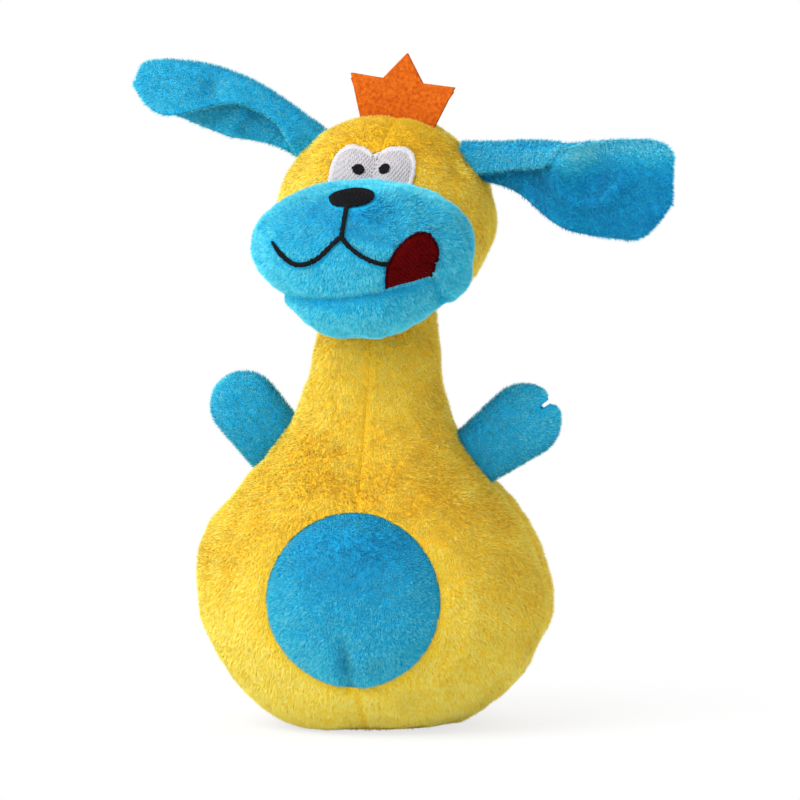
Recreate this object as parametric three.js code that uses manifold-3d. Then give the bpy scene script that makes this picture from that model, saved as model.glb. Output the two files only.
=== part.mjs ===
import * as THREE from 'three';
import { mergeVertices } from 'three/addons/utils/BufferGeometryUtils.js';
import Module from 'manifold-3d';

// A stuffed dog with a squeaker behind its tummy. Millimetres and degrees, +Z up. The face looks
// along -Y and the origin is the middle of the foot. Left and right are the dog's own.

// Cloth
const GAP = 0.3; // clearance between neighbouring pieces
const PLUSH = 2.4; // plush cloth with its pile
const EAR_PLUSH = 1.8; // one layer of an ear
const STITCH = 0.9; // satin stitching stands this high
const FELT = 1.6;

// Body, a pear whose side is drawn by two curves
const FOOT_RADIUS = 25;
const FOOT_SLOPE = 30;
const BELLY_RADIUS = 52.5;
const BELLY_DEPTH = 97; // front to back
const BELLY_HEIGHT = 39; // level of the widest girth
const NECK_RADIUS = 18.5;
const NECK_HEIGHT = 120; // level of the neck seam, where the head nods
const NECK_DOME = 60; // the neck's cloth closes over its end up to this slope
const FOOT_FULLNESS = 16; // lengths of the side curves' handles
const LOWER_FULLNESS = 14.2;
const UPPER_FULLNESS = 36.7;
const NECK_FULLNESS = 51.3;

// Tummy panel and squeaker
const TUMMY_RADIUS = 25.7;
const TUMMY_HEIGHT = 41;
const TUMMY_PAD = 11; // stuffing between the panel and the squeaker, at the middle
const SQUEAKER_RADIUS = 21;
const SQUEAKER_LENGTH = 21;
const SQUEAKER_WALL = 1.2;
const PLEATS = 4;
const PLEAT_DEPTH = 3.5;
const COLLAR_LENGTH = 3;
const COLLAR_WALL = 1;
const REED_TUBE_RADIUS = 4.5;
const REED_TUBE_WALL = 1.1;
const REED_TUBE_LENGTH = 8;
const REED_FLANGE = 1.2;
const REED_WIDTH = 2.6;
const REED_THICKNESS = 0.3;
const REED_HELD = 2; // length of the reed under its clamp
const REED_GROOVE = 1.6;

// Arms
const ARM_THICKNESS = 12;
const ARM_EASE = 0.8; // room beside the arm's root
const ARM_SWING = 20; // swing either way
const ARM_LEFT = { height: 80, lift: 37, length: 28, root: 9.2, paw: 11.3, slit: true };
const ARM_RIGHT = { height: 82.5, lift: 50, length: 25.5, root: 10.4, paw: 10.8, slit: false };
const SLIT_LENGTH = 4.5;
const SLIT_WIDTH = 0.8;

// Head. Its places are measured from the middle of the neck seam
const HEAD_WIDTH = 63.6;
const HEAD_DEPTH = 58;
const HEAD_HEIGHT = 59;
const HEAD_RISE = 30;
const HEAD_TILT = 7;
const HEAD_TURN = -6;
const NECK_EASE = 0.6; // room between the neck's dome and the head, for nodding
const NOD_ROOM = 3; // room between the neck and the chin

// Muzzle
const MUZZLE_WIDTH = 67;
const MUZZLE_DEPTH = 50;
const MUZZLE_HEIGHT = 38.2;
const MUZZLE_RISE = 24.3;
const MUZZLE_FORWARD = 1; // its middle, ahead of the head's front
const MUZZLE_SHIFT = 0.8;
const CHIN_WIDTH = 48;
const CHIN_DEPTH = 44;
const CHIN_HEIGHT = 33;
const CHIN_RISE = 12.7;
const CHIN_FORWARD = -1;
const MOUTH_RISE = 11;
const MOUTH_SLOPE = 12;

// Embroidery
const FACE_MIDDLE = -1.2;
const EYE_WIDTH = 14;
const EYE_HEIGHT = 18;
const EYE_SPACING = 11.4;
const EYE_RISE = 44;
const PUPIL_WIDTH = 3.9;
const PUPIL_HEIGHT = 3.1;
const PUPIL_SPACING = 7.8;
const PUPIL_RISE = 46.5;
const NOSE_WIDTH = 13;
const NOSE_HEIGHT = 5.6;
const NOSE_RISE = 39.6;
const MOUTH_LINE = 1.5;
const MOUTH_MIDDLE = [[-1.5, 37.5], [-0.5, 28]];
const MOUTH_RIGHT = [[-0.5, 28], [-7.2, 20.6], [-12, 18.5], [-17, 18.8], [-23, 23.4]];
const MOUTH_LEFT = [[-0.5, 28], [6.9, 23.9], [13, 22.7]];
const TONGUE = [[13, 12], [14.2, 23], [19.5, 32], [25.6, 29.5], [26.7, 24], [25.2, 14]];

// Ears, folded over a crest. Each list runs in even steps from the root to the tip
const EAR_ROOT_ANGLE = 40; // place of the root on the head, above its middle
const EAR_ROOT_RADIUS = 5.6;
const EAR_ROOT_THICKNESS = 11.2;
const EAR_TUCK = 4; // length inside the head
const EAR_FLOP = 30; // swing either way
const EAR_EASE = 0.6; // room between the swinging ear and the head
const EAR_FOLD = 2.6; // radius of the fold
const EAR_ROUNDING = 0.8; // share of the length where the tip starts to round off
const EAR_NARROWING = 0.7; // how far the rounded tip draws in
const EAR_LEFT = {
  length: 58.8,
  lift: 4,
  crest: [5.4, 7, 7.8, 10.2, 10],
  back: [7.5, 11.2, 22.4, 27.6, 28],
  front: [6.5, 5.5, 2.4, 0.9, 0.6],
  open: [2, 8, 40, 95, 100],
};
const EAR_RIGHT = {
  length: 56.6,
  lift: 13,
  crest: [3.4, 7.8, 9.5, 9.2, 3.5],
  back: [8.5, 12.6, 15.6, 16.4, 12],
  front: [10, 7.2, 7.4, 13, 6],
  open: [2, 25, 30, 22, 15],
};

// Crown, with heights above the top of the head
const CROWN_BASE = 20;
const CROWN_SPAN = 31.8;
const CROWN_SIDE = 11.2;
const CROWN_VALLEY_SPAN = 12;
const CROWN_VALLEY = 11;
const CROWN_HEIGHT = 19.2;

// Facets of the round forms
const BODY_FACETS = 24;
const HEAD_FACETS = 20;
const SMALL_FACETS = 16;
const EAR_STEPS = 8;
const FAR = 300;

const wasm = await Module();
wasm.setup();
const radians = THREE.MathUtils.degToRad;
const point = (x, y) => new THREE.Vector2(x, y);

// Solids and cuts

function solid(geometry) {
  const bare = geometry.clone();
  bare.deleteAttribute('normal');
  bare.deleteAttribute('uv');
  const merged = mergeVertices(bare, 1e-4);
  const corners = merged.index.array;
  const faces = [];
  for (let i = 0; i < corners.length; i += 3) {
    const [a, b, c] = corners.slice(i, i + 3);
    if (a !== b && b !== c && c !== a) faces.push(a, b, c);
  }
  return new wasm.Manifold(new wasm.Mesh({
    numProp: 3,
    vertProperties: new Float32Array(merged.attributes.position.array),
    triVerts: new Uint32Array(faces),
  }));
}

function mesh(name, form, material) {
  const { vertProperties, triVerts } = form.getMesh();
  const geometry = new THREE.BufferGeometry();
  geometry.setAttribute('position', new THREE.BufferAttribute(vertProperties, 3));
  geometry.setIndex(new THREE.BufferAttribute(triVerts, 1));
  geometry.computeVertexNormals();
  const piece = new THREE.Mesh(geometry, material);
  piece.name = name;
  return piece;
}

function box(x0, x1, y0, y1, z0, z1) {
  const geometry = new THREE.BoxGeometry(x1 - x0, y1 - y0, z1 - z0);
  return solid(geometry.translate((x0 + x1) / 2, (y0 + y1) / 2, (z0 + z1) / 2));
}

const FRONT = box(-FAR, FAR, -FAR, -GAP / 2, -FAR, FAR);
const BACK = box(-FAR, FAR, GAP / 2, FAR, -FAR, FAR);
const LEFT = box(GAP / 2, FAR, -FAR, FAR, -FAR, FAR);
const RIGHT = box(-FAR, -GAP / 2, -FAR, FAR, -FAR, FAR);

// A round bar along Y between two levels of y
function bar(radius, x, z, y0, y1, facets = SMALL_FACETS) {
  const geometry = new THREE.CylinderGeometry(radius, radius, y1 - y0, facets);
  return solid(geometry.translate(x, (y0 + y1) / 2, z));
}

function ellipsoid(size, middle, grow, facets = HEAD_FACETS) {
  const geometry = new THREE.SphereGeometry(1, facets, facets / 2 + 2);
  geometry.rotateX(Math.PI / 2);
  geometry.scale(size[0] / 2 + grow, size[1] / 2 + grow, size[2] / 2 + grow);
  return geometry.translate(...middle);
}

// A flat shape in X and Z, drawn out towards the front from a level of y
function prism(shape, y) {
  const geometry = new THREE.ExtrudeGeometry(shape, { depth: FAR, bevelEnabled: false, curveSegments: 6 });
  return solid(geometry.rotateX(Math.PI / 2).translate(0, y, 0));
}

function oval(x, z, width, height) {
  return new THREE.Shape().absellipse(x, z, width / 2, height / 2, 0, 2 * Math.PI);
}

// A smooth value along a list of evenly spaced stations
function along(stations, t) {
  const curve = new THREE.SplineCurve(stations.map((value, i) => point(i, value)));
  return curve.getPoint(t).y;
}

// Body

const bodyDepth = BELLY_DEPTH / 2 / BELLY_RADIUS;

// Radius and height of points up the side, ending on the dome that the head sits on
function bodySide(inset) {
  const slope = radians(FOOT_SLOPE);
  const lower = new THREE.CubicBezierCurve(
    point(FOOT_RADIUS, 0),
    point(FOOT_RADIUS + FOOT_FULLNESS * Math.cos(slope), FOOT_FULLNESS * Math.sin(slope)),
    point(BELLY_RADIUS, BELLY_HEIGHT - LOWER_FULLNESS),
    point(BELLY_RADIUS, BELLY_HEIGHT),
  );
  const upper = new THREE.CubicBezierCurve(
    point(BELLY_RADIUS, BELLY_HEIGHT),
    point(BELLY_RADIUS, BELLY_HEIGHT + UPPER_FULLNESS),
    point(NECK_RADIUS, NECK_HEIGHT - NECK_FULLNESS),
    point(NECK_RADIUS, NECK_HEIGHT),
  );
  const side = [];
  for (const [curve, steps, first] of [[lower, 4, 0], [upper, 8, 1]]) {
    for (let i = first; i <= steps; i++) {
      const { x, y } = curve.getTangent(i / steps);
      side.push(curve.getPoint(i / steps).add(point(-y, x).multiplyScalar(inset)));
    }
  }
  for (let i = 1; i <= 3; i++) {
    const angle = radians(NECK_DOME * i / 3);
    const radius = NECK_RADIUS - inset;
    side.push(point(radius * Math.cos(angle), NECK_HEIGHT + radius * Math.sin(angle)));
  }
  return side;
}

function bodyForm(inset, bottom, above = 0) {
  const side = bodySide(inset);
  const first = side[0];
  const last = side.at(-1);
  const top = last.y + above;
  const profile = [point(0, bottom), point(first.x, bottom), ...side, point(last.x, top), point(0, top)];
  const geometry = new THREE.LatheGeometry(profile, BODY_FACETS);
  return geometry.rotateX(Math.PI / 2).scale(1, bodyDepth, 1);
}

function bodyHalfWidth(height) {
  const side = bodySide(0);
  const i = side.findIndex((p) => p.y > height);
  const t = (height - side[i - 1].y) / (side[i].y - side[i - 1].y);
  return THREE.MathUtils.lerp(side[i - 1].x, side[i].x, t);
}

const armHinge = (side, { height }) => [side * bodyHalfWidth(height), 0, height];
const armRoot = ({ root }, middle, grow) => (
  solid(ellipsoid([2 * root, ARM_THICKNESS + 2 * ARM_EASE, 2 * root], middle, grow, SMALL_FACETS))
);
const armSlots = [[1, ARM_LEFT], [-1, ARM_RIGHT]]
  .map(([side, shape]) => armRoot(shape, armHinge(side, shape), GAP))
  .reduce((all, slot) => all.add(slot));

const squeakerFront = -(BELLY_DEPTH / 2 - PLUSH - GAP - TUMMY_PAD);
const squeakerBack = squeakerFront + SQUEAKER_LENGTH;
const pocketRadius = Math.max(TUMMY_RADIUS, SQUEAKER_RADIUS) + GAP;

function bodyPieces(materials) {
  const cover = solid(bodyForm(0, 0)).subtract(solid(bodyForm(PLUSH, -GAP, 2 * PLUSH)));
  const slotted = cover.subtract(armSlots);
  const hole = bar(TUMMY_RADIUS + GAP, 0, TUMMY_HEIGHT, -FAR, 0, BODY_FACETS);
  const front = slotted.subtract(hole).intersect(FRONT);

  const foot = new THREE.CylinderGeometry(1, 1, PLUSH, BODY_FACETS).rotateX(Math.PI / 2);
  const footRadius = bodySide(PLUSH)[0].x - GAP;
  foot.scale(footRadius, footRadius * bodyDepth, 1).translate(0, 0, PLUSH / 2);

  const core = solid(bodyForm(PLUSH + GAP, -GAP));
  const pocket = bar(pocketRadius, 0, TUMMY_HEIGHT, -FAR, squeakerBack + GAP, BODY_FACETS);
  const aboveFoot = box(-FAR, FAR, -FAR, FAR, PLUSH + GAP, FAR);
  const stuffing = core.intersect(aboveFoot).subtract(pocket).subtract(armSlots);

  const patch = bar(TUMMY_RADIUS, 0, TUMMY_HEIGHT, -FAR, 0, BODY_FACETS);
  const padBack = box(-FAR, FAR, -FAR, squeakerFront - GAP, -FAR, FAR);
  return [
    mesh('body_front_left', front.intersect(LEFT), materials.yellow),
    mesh('body_front_right', front.intersect(RIGHT), materials.yellow),
    mesh('body_back', slotted.intersect(BACK), materials.yellow),
    mesh('base_panel', solid(foot), materials.yellow),
    mesh('body_stuffing', stuffing, materials.fill),
    mesh('tummy_panel', cover.intersect(patch), materials.blue),
    mesh('tummy_stuffing', core.intersect(patch).intersect(padBack), materials.fill),
  ];
}

// Squeaker, turned about Y. Its own y runs from the front face to the back face

function turned(profile) {
  return solid(new THREE.LatheGeometry(profile, SMALL_FACETS));
}

function pleatedWall() {
  const start = SQUEAKER_WALL + GAP;
  const fold = (SQUEAKER_LENGTH - 2 * start) / (2 * PLEATS);
  const outer = [];
  const inner = [];
  for (let i = 0; i <= 2 * PLEATS; i++) {
    const radius = SQUEAKER_RADIUS - (i % 2 ? 0 : PLEAT_DEPTH);
    outer.push(point(radius, start + i * fold));
    inner.unshift(point(radius - SQUEAKER_WALL, start + i * fold));
  }
  return turned([...outer, ...inner, outer[0]]);
}

function squeakerBackFace() {
  const bore = REED_TUBE_RADIUS + GAP;
  const collar = bore + COLLAR_WALL;
  const face = SQUEAKER_LENGTH - SQUEAKER_WALL;
  return turned([
    point(bore, face - COLLAR_LENGTH),
    point(collar, face - COLLAR_LENGTH),
    point(collar, face),
    point(SQUEAKER_RADIUS, face),
    point(SQUEAKER_RADIUS, SQUEAKER_LENGTH),
    point(bore, SQUEAKER_LENGTH),
    point(bore, face - COLLAR_LENGTH),
  ]);
}

function reedTube() {
  const bore = REED_TUBE_RADIUS - REED_TUBE_WALL;
  const collarEnd = SQUEAKER_LENGTH - SQUEAKER_WALL - COLLAR_LENGTH - GAP;
  const end = SQUEAKER_LENGTH - REED_TUBE_LENGTH;
  return turned([
    point(bore, end),
    point(REED_TUBE_RADIUS, end),
    point(REED_TUBE_RADIUS, collarEnd - REED_FLANGE),
    point(REED_TUBE_RADIUS + REED_FLANGE, collarEnd - REED_FLANGE),
    point(REED_TUBE_RADIUS + REED_FLANGE, collarEnd),
    point(REED_TUBE_RADIUS, collarEnd),
    point(REED_TUBE_RADIUS, SQUEAKER_LENGTH),
    point(bore, SQUEAKER_LENGTH),
    point(bore, end),
  ]);
}

function reedPieces(materials) {
  const radius = REED_TUBE_RADIUS - REED_TUBE_WALL - GAP;
  const y0 = SQUEAKER_LENGTH - REED_TUBE_LENGTH + GAP;
  const y1 = SQUEAKER_LENGTH - GAP;
  const clampEnd = y1 - REED_HELD;
  const top = REED_THICKNESS + 2 * GAP;
  const halfGroove = REED_GROOVE / 2;
  const groove = box(-halfGroove, halfGroove, y0 - GAP, clampEnd, -REED_GROOVE, GAP);
  const block = bar(radius, 0, 0, y0, y1).intersect(box(-FAR, FAR, -FAR, FAR, -FAR, 0)).subtract(groove);
  const clamp = bar(radius, 0, 0, clampEnd, y1).intersect(box(-FAR, FAR, -FAR, FAR, top, FAR));
  const reed = box(-REED_WIDTH / 2, REED_WIDTH / 2, y0, y1, GAP, GAP + REED_THICKNESS);
  return [
    mesh('reed_block', block, materials.plastic),
    mesh('reed_clamp', clamp, materials.plastic),
    mesh('reed', reed, materials.reed),
  ];
}

function squeaker(materials) {
  const chamfer = SQUEAKER_WALL / 2;
  const face = turned([
    point(0, 0),
    point(SQUEAKER_RADIUS - chamfer, 0),
    point(SQUEAKER_RADIUS, chamfer),
    point(SQUEAKER_RADIUS, SQUEAKER_WALL),
    point(0, SQUEAKER_WALL),
  ]);
  const group = new THREE.Group();
  group.position.set(0, squeakerFront, TUMMY_HEIGHT);
  group.add(
    mesh('squeaker_front', face, materials.bellows),
    mesh('squeaker_pleats', pleatedWall(), materials.bellows),
    mesh('squeaker_back', squeakerBackFace(), materials.bellows),
    mesh('reed_housing', reedTube(), materials.plastic),
    ...reedPieces(materials),
  );
  return group;
}

// Arms, drawn along +X from the hinge

function mittenOutline(shape, inset, side) {
  const root = shape.root - inset;
  const paw = shape.paw - inset;
  const reach = shape.length - shape.paw;
  const turn = Math.PI / 2 + Math.asin((paw - root) / reach);
  const outline = new THREE.Shape();
  outline.absarc(reach, 0, paw, -turn, turn, false);
  outline.absarc(0, 0, root, turn, 2 * Math.PI - turn, false);
  return outline.getPoints(4).slice(0, -1).map((p) => point(side * p.x, p.y));
}

// A cushion over an outline in X and Z, swelling to the given half thickness
function mitten(shape, inset, side) {
  const outline = mittenOutline(shape, inset, side);
  const middle = side * (shape.length - shape.paw) / 2;
  const swell = ARM_THICKNESS / 2 - inset;
  const steps = 3;
  const rings = [];
  for (let i = -steps; i <= steps; i++) {
    const angle = (i / steps) * (Math.PI / 2);
    const shrink = Math.abs(i) === steps ? 0 : Math.cos(angle);
    rings.push(outline.map((p) => [
      middle + (p.x - middle) * shrink,
      swell * Math.sin(angle),
      p.y * shrink,
    ]));
  }
  return loft(rings, side > 0);
}

// A skin over a row of closed rings, each with the same number of points
function loft(rings, flip) {
  const count = rings[0].length;
  const faces = [];
  for (let i = 0; i + 1 < rings.length; i++) {
    for (let j = 0; j < count; j++) {
      const a = i * count + j;
      const b = i * count + (j + 1) % count;
      faces.push(a, b, a + count, b, b + count, a + count);
    }
  }
  return skin(rings, faces, flip);
}

function skin(rings, faces, flip) {
  const geometry = new THREE.BufferGeometry();
  geometry.setAttribute('position', new THREE.Float32BufferAttribute(rings.flat(2), 3));
  geometry.setIndex(flip ? faces.reverse() : faces);
  return geometry;
}

function arm(name, side, shape, materials) {
  const { lift, length, slit } = shape;
  const turn = side * radians(lift);
  const hinge = armHinge(side, shape);
  const bodyAt = (swing) => {
    const around = bodyForm(-GAP, 0).translate(...hinge.map((place) => -place));
    return solid(around.rotateY(turn + radians(swing)));
  };
  const outside = [-1, 0, 1].map((share) => bodyAt(share * ARM_SWING))
    .reduce((all, part) => all.add(part)).subtract(armRoot(shape, [0, 0, 0], 0));
  const tip = side * length;
  const cut = box(tip - SLIT_LENGTH, tip + SLIT_LENGTH, -FAR, FAR, -SLIT_WIDTH / 2, SLIT_WIDTH / 2);
  const whole = solid(mitten(shape, 0, side)).subtract(outside);
  const cloth = (slit ? whole.subtract(cut) : whole).subtract(solid(mitten(shape, PLUSH, side)));
  const fill = solid(mitten(shape, PLUSH + GAP, side)).subtract(outside);
  const group = new THREE.Group();
  group.position.set(...hinge);
  group.rotation.y = -turn;
  group.add(
    mesh(`${name}_front`, cloth.intersect(FRONT), materials.blue),
    mesh(`${name}_back`, cloth.intersect(BACK), materials.blue),
    mesh(`${name}_stuffing`, slit ? fill.subtract(cut) : fill, materials.fill),
  );
  return group;
}

// Head

const headSize = [HEAD_WIDTH, HEAD_DEPTH, HEAD_HEIGHT];
const headMiddle = [0, 0, HEAD_RISE];
const headForm = (grow) => solid(ellipsoid(headSize, headMiddle, grow));
const neckCup = solid(new THREE.SphereGeometry(NECK_RADIUS + NECK_EASE, HEAD_FACETS, HEAD_FACETS / 2));
const earRoot = [
  (HEAD_WIDTH / 2) * Math.cos(radians(EAR_ROOT_ANGLE)),
  HEAD_RISE + (HEAD_HEIGHT / 2) * Math.sin(radians(EAR_ROOT_ANGLE)),
];
const earHalf = EAR_ROOT_THICKNESS / 2;
const earSlots = [-1, 1].map((side) => (
  bar(EAR_ROOT_RADIUS + GAP, side * earRoot[0], earRoot[1], -earHalf - GAP, earHalf + GAP)
)).reduce((all, slot) => all.add(slot));

function headPieces(materials) {
  const cloth = headForm(0).subtract(headForm(-PLUSH)).subtract(neckCup).subtract(earSlots);
  const front = cloth.intersect(FRONT);
  const fill = headForm(-PLUSH - GAP).subtract(neckCup).subtract(earSlots);
  return [
    mesh('head_front_left', front.intersect(LEFT), materials.yellow),
    mesh('head_front_right', front.intersect(RIGHT), materials.yellow),
    mesh('head_back', cloth.intersect(BACK), materials.yellow),
    mesh('head_stuffing', fill, materials.fill),
  ];
}

// Muzzle

const muzzleMiddle = [MUZZLE_SHIFT, -HEAD_DEPTH / 2 - MUZZLE_FORWARD, MUZZLE_RISE];
const chinMiddle = [MUZZLE_SHIFT, -HEAD_DEPTH / 2 - CHIN_FORWARD, CHIN_RISE];

function muzzleForm(grow) {
  const upper = ellipsoid([MUZZLE_WIDTH, MUZZLE_DEPTH, MUZZLE_HEIGHT], muzzleMiddle, grow);
  const chin = ellipsoid([CHIN_WIDTH, CHIN_DEPTH, CHIN_HEIGHT], chinMiddle, grow);
  return solid(upper).add(solid(chin));
}

// Everything on one side of the mouth seam
function mouthSide(side) {
  const geometry = new THREE.BoxGeometry(FAR, FAR, FAR).translate(0, 0, side * (FAR + GAP) / 2);
  return solid(geometry.rotateY(-radians(MOUTH_SLOPE)).translate(0, 0, MOUTH_RISE));
}

function muzzlePieces(materials) {
  const room = solid(new THREE.SphereGeometry(NECK_RADIUS + NOD_ROOM, HEAD_FACETS, HEAD_FACETS / 2));
  const behind = headForm(GAP).add(room);
  const cloth = muzzleForm(0).subtract(muzzleForm(-PLUSH)).subtract(behind);
  const fill = muzzleForm(-PLUSH - GAP).subtract(behind);
  return [
    mesh('muzzle_upper', cloth.intersect(mouthSide(1)), materials.blue),
    mesh('muzzle_lower', cloth.intersect(mouthSide(-1)), materials.blue),
    mesh('muzzle_stuffing', fill, materials.fill),
  ];
}

// Embroidery, raised over the form that it is sewn on

function stitched(area, form, lift) {
  return area.intersect(form(lift + STITCH).subtract(form(lift)));
}

function line(places) {
  const curve = new THREE.SplineCurve(places.map(([x, z]) => point(x, z)));
  const steps = 3 * (places.length - 1);
  const left = [];
  const right = [];
  for (let i = 0; i <= steps; i++) {
    const middle = curve.getPoint(i / steps);
    const { x, y } = curve.getTangent(i / steps).multiplyScalar(MOUTH_LINE / 2);
    left.push(point(middle.x - y, middle.y + x));
    right.unshift(point(middle.x + y, middle.y - x));
  }
  return prism(new THREE.Shape([...left, ...right]), muzzleMiddle[1]);
}

function tongueArea() {
  const [first, ...others] = TONGUE.map(([x, z]) => point(x, z));
  const shape = new THREE.Shape().moveTo(first.x, first.y).splineThru(others);
  return prism(shape, muzzleMiddle[1]).intersect(mouthSide(1));
}

function pair(width, height, spacing, rise) {
  return [-1, 1].map((side) => prism(oval(FACE_MIDDLE + side * spacing / 2, rise, width, height), 0));
}

function embroidery(materials) {
  const below = muzzleForm(GAP);
  const [eyeRight, eyeLeft] = pair(EYE_WIDTH, EYE_HEIGHT, EYE_SPACING, EYE_RISE);
  const eyes = stitched(eyeRight.add(eyeLeft), headForm, GAP).subtract(below);
  const pupils = pair(PUPIL_WIDTH, PUPIL_HEIGHT, PUPIL_SPACING, PUPIL_RISE)
    .map((area) => stitched(area, headForm, 2 * GAP + STITCH).subtract(below));
  const nose = prism(oval(FACE_MIDDLE, NOSE_RISE, NOSE_WIDTH, NOSE_HEIGHT), muzzleMiddle[1]);
  const noseRoom = prism(oval(FACE_MIDDLE, NOSE_RISE, NOSE_WIDTH + 2 * GAP, NOSE_HEIGHT + 2 * GAP), 0);
  const mouth = line(MOUTH_MIDDLE).add(line(MOUTH_RIGHT)).add(line(MOUTH_LEFT)).subtract(noseRoom);
  return [
    mesh('eye_patch', eyes, materials.white),
    mesh('pupil_right', pupils[0], materials.black),
    mesh('pupil_left', pupils[1], materials.black),
    mesh('nose', stitched(nose, muzzleForm, GAP), materials.black),
    mesh('mouth_line', stitched(mouth, muzzleForm, GAP), materials.black),
    mesh('tongue', stitched(tongueArea(), muzzleForm, GAP), materials.red),
  ];
}

// Ears, drawn along +X from the root. A section runs up the back flap, over the crest and down
// the front flap, as points with the direction that faces out of the fold

function earSection(shape, t) {
  const middle = along(shape.crest, t) - EAR_FOLD;
  const open = radians(along(shape.open, t));
  const tip = Math.max(0, (t - EAR_ROUNDING) / (1 - EAR_ROUNDING));
  const taper = Math.sqrt(1 - EAR_NARROWING * tip * tip);
  const section = [];
  for (let i = 3; i > 0; i--) {
    const reach = taper * along(shape.back, t) * i / 3;
    section.push({ at: point(EAR_FOLD, middle - reach), out: point(1, 0) });
  }
  for (let i = 0; i <= 3; i++) {
    const angle = (Math.PI - open) * i / 3;
    const out = point(Math.cos(angle), Math.sin(angle));
    section.push({ at: point(0, middle).addScaledVector(out, EAR_FOLD), out });
  }
  const last = section.at(-1);
  const down = point(-last.out.y, last.out.x);
  for (let i = 1; i <= 3; i++) {
    const reach = taper * along(shape.front, t) * i / 3;
    section.push({ at: last.at.clone().addScaledVector(down, reach), out: last.out });
  }
  return section;
}

// One layer between two offsets from the section, with its stations closer towards the tip
function earLayer(shape, side, near, far) {
  const rings = [];
  for (let i = 0; i <= EAR_STEPS; i++) {
    const t = 1 - (1 - i / EAR_STEPS) ** 1.3;
    const x = side * THREE.MathUtils.lerp(-EAR_TUCK, shape.length, t);
    const section = earSection(shape, t);
    const face = (offset) => (
      section.map(({ at, out }) => [x, at.x + out.x * offset, at.y + out.y * offset])
    );
    rings.push([...face(far), ...face(near).reverse()]);
  }
  const count = rings[0].length;
  const end = EAR_STEPS * count;
  const faces = [...loft(rings, false).index.array];
  for (let j = 0; j + 1 < count / 2; j++) {
    const k = count - 1 - j;
    faces.push(j, k - 1, j + 1, j, k, k - 1);
    faces.push(end + j, end + j + 1, end + k - 1, end + j, end + k - 1, end + k);
  }
  return solid(skin(rings, faces, side < 0));
}

function ear(name, side, shape, materials) {
  const turn = side * radians(shape.lift);
  const headAt = (flop) => {
    const around = ellipsoid(headSize, headMiddle, EAR_EASE);
    around.translate(-side * earRoot[0], 0, -earRoot[1]);
    return solid(around.rotateY(turn + radians(flop)));
  };
  const root = bar(EAR_ROOT_RADIUS, 0, 0, -earHalf, earHalf);
  const inside = [-1, -0.5, 0, 0.5, 1].map((share) => headAt(share * EAR_FLOP))
    .reduce((all, part) => all.add(part)).subtract(root);
  const outer = earLayer(shape, side, GAP / 2, GAP / 2 + EAR_PLUSH).subtract(inside);
  const inner = earLayer(shape, side, -GAP / 2 - EAR_PLUSH, -GAP / 2).subtract(inside);
  const group = new THREE.Group();
  group.position.set(side * earRoot[0], 0, earRoot[1]);
  group.rotation.y = -turn;
  group.add(
    mesh(`${name}_outer`, outer, materials.blue),
    mesh(`${name}_inner`, inner, materials.blue),
  );
  return group;
}

// Crown

function crown(materials) {
  const top = HEAD_RISE + HEAD_HEIGHT / 2;
  const shape = new THREE.Shape([
    point(-CROWN_BASE / 2, HEAD_RISE + HEAD_HEIGHT / 4),
    point(CROWN_BASE / 2, HEAD_RISE + HEAD_HEIGHT / 4),
    point(CROWN_BASE / 2, top),
    point(CROWN_SPAN / 2, top + CROWN_SIDE),
    point(CROWN_VALLEY_SPAN / 2, top + CROWN_VALLEY),
    point(0, top + CROWN_HEIGHT),
    point(-CROWN_VALLEY_SPAN / 2, top + CROWN_VALLEY),
    point(-CROWN_SPAN / 2, top + CROWN_SIDE),
    point(-CROWN_BASE / 2, top),
  ]);
  const felt = new THREE.ExtrudeGeometry(shape, { depth: FELT, bevelEnabled: false });
  felt.rotateX(Math.PI / 2).translate(0, FELT / 2, 0);
  return mesh('crown', solid(felt).subtract(headForm(GAP)), materials.orange);
}

// The dog

function finish(colour, roughness = 0.9) {
  return new THREE.MeshStandardMaterial({ color: colour, roughness, metalness: 0 });
}

const materials = {
  yellow: finish(0xf5c832),
  blue: finish(0x2ba3d6),
  orange: finish(0xf06e19),
  white: finish(0xe6e3e8, 0.6),
  black: finish(0x232328, 0.6),
  red: finish(0x69050a, 0.6),
  fill: finish(0xf2f2ee),
  bellows: finish(0xe9e6dc, 0.5),
  plastic: finish(0xf7f7f7, 0.4),
  reed: finish(0xd8e4ea, 0.3),
};

const head = new THREE.Group();
head.position.set(0, 0, NECK_HEIGHT);
head.rotation.set(0, radians(HEAD_TILT), radians(HEAD_TURN));
head.add(
  ...headPieces(materials),
  ...muzzlePieces(materials),
  ...embroidery(materials),
  ear('ear_left', 1, EAR_LEFT, materials),
  ear('ear_right', -1, EAR_RIGHT, materials),
  crown(materials),
);

const dog = new THREE.Group();
dog.add(
  ...bodyPieces(materials),
  squeaker(materials),
  arm('arm_left', 1, ARM_LEFT, materials),
  arm('arm_right', -1, ARM_RIGHT, materials),
  head,
);

export default dog;
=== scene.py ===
# %% [markdown]
# # A stuffed dog with a squeaker
# The toy is a pear-shaped body of yellow plush with a round head on a long neck. The muzzle, ears,
# arms and tummy are blue plush, the face is embroidered, and a felt crown is sewn into the head.
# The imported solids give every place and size. This lesson dresses them in cloth, pile and thread.

from math import asin, cos, exp, pi, radians, sin, sqrt, tau

import bmesh
import bpy
import numpy as np
from mathutils import Matrix, Vector
from mathutils.bvhtree import BVHTree
from mathutils.geometry import interpolate_bezier
from mathutils.kdtree import KDTree


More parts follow.
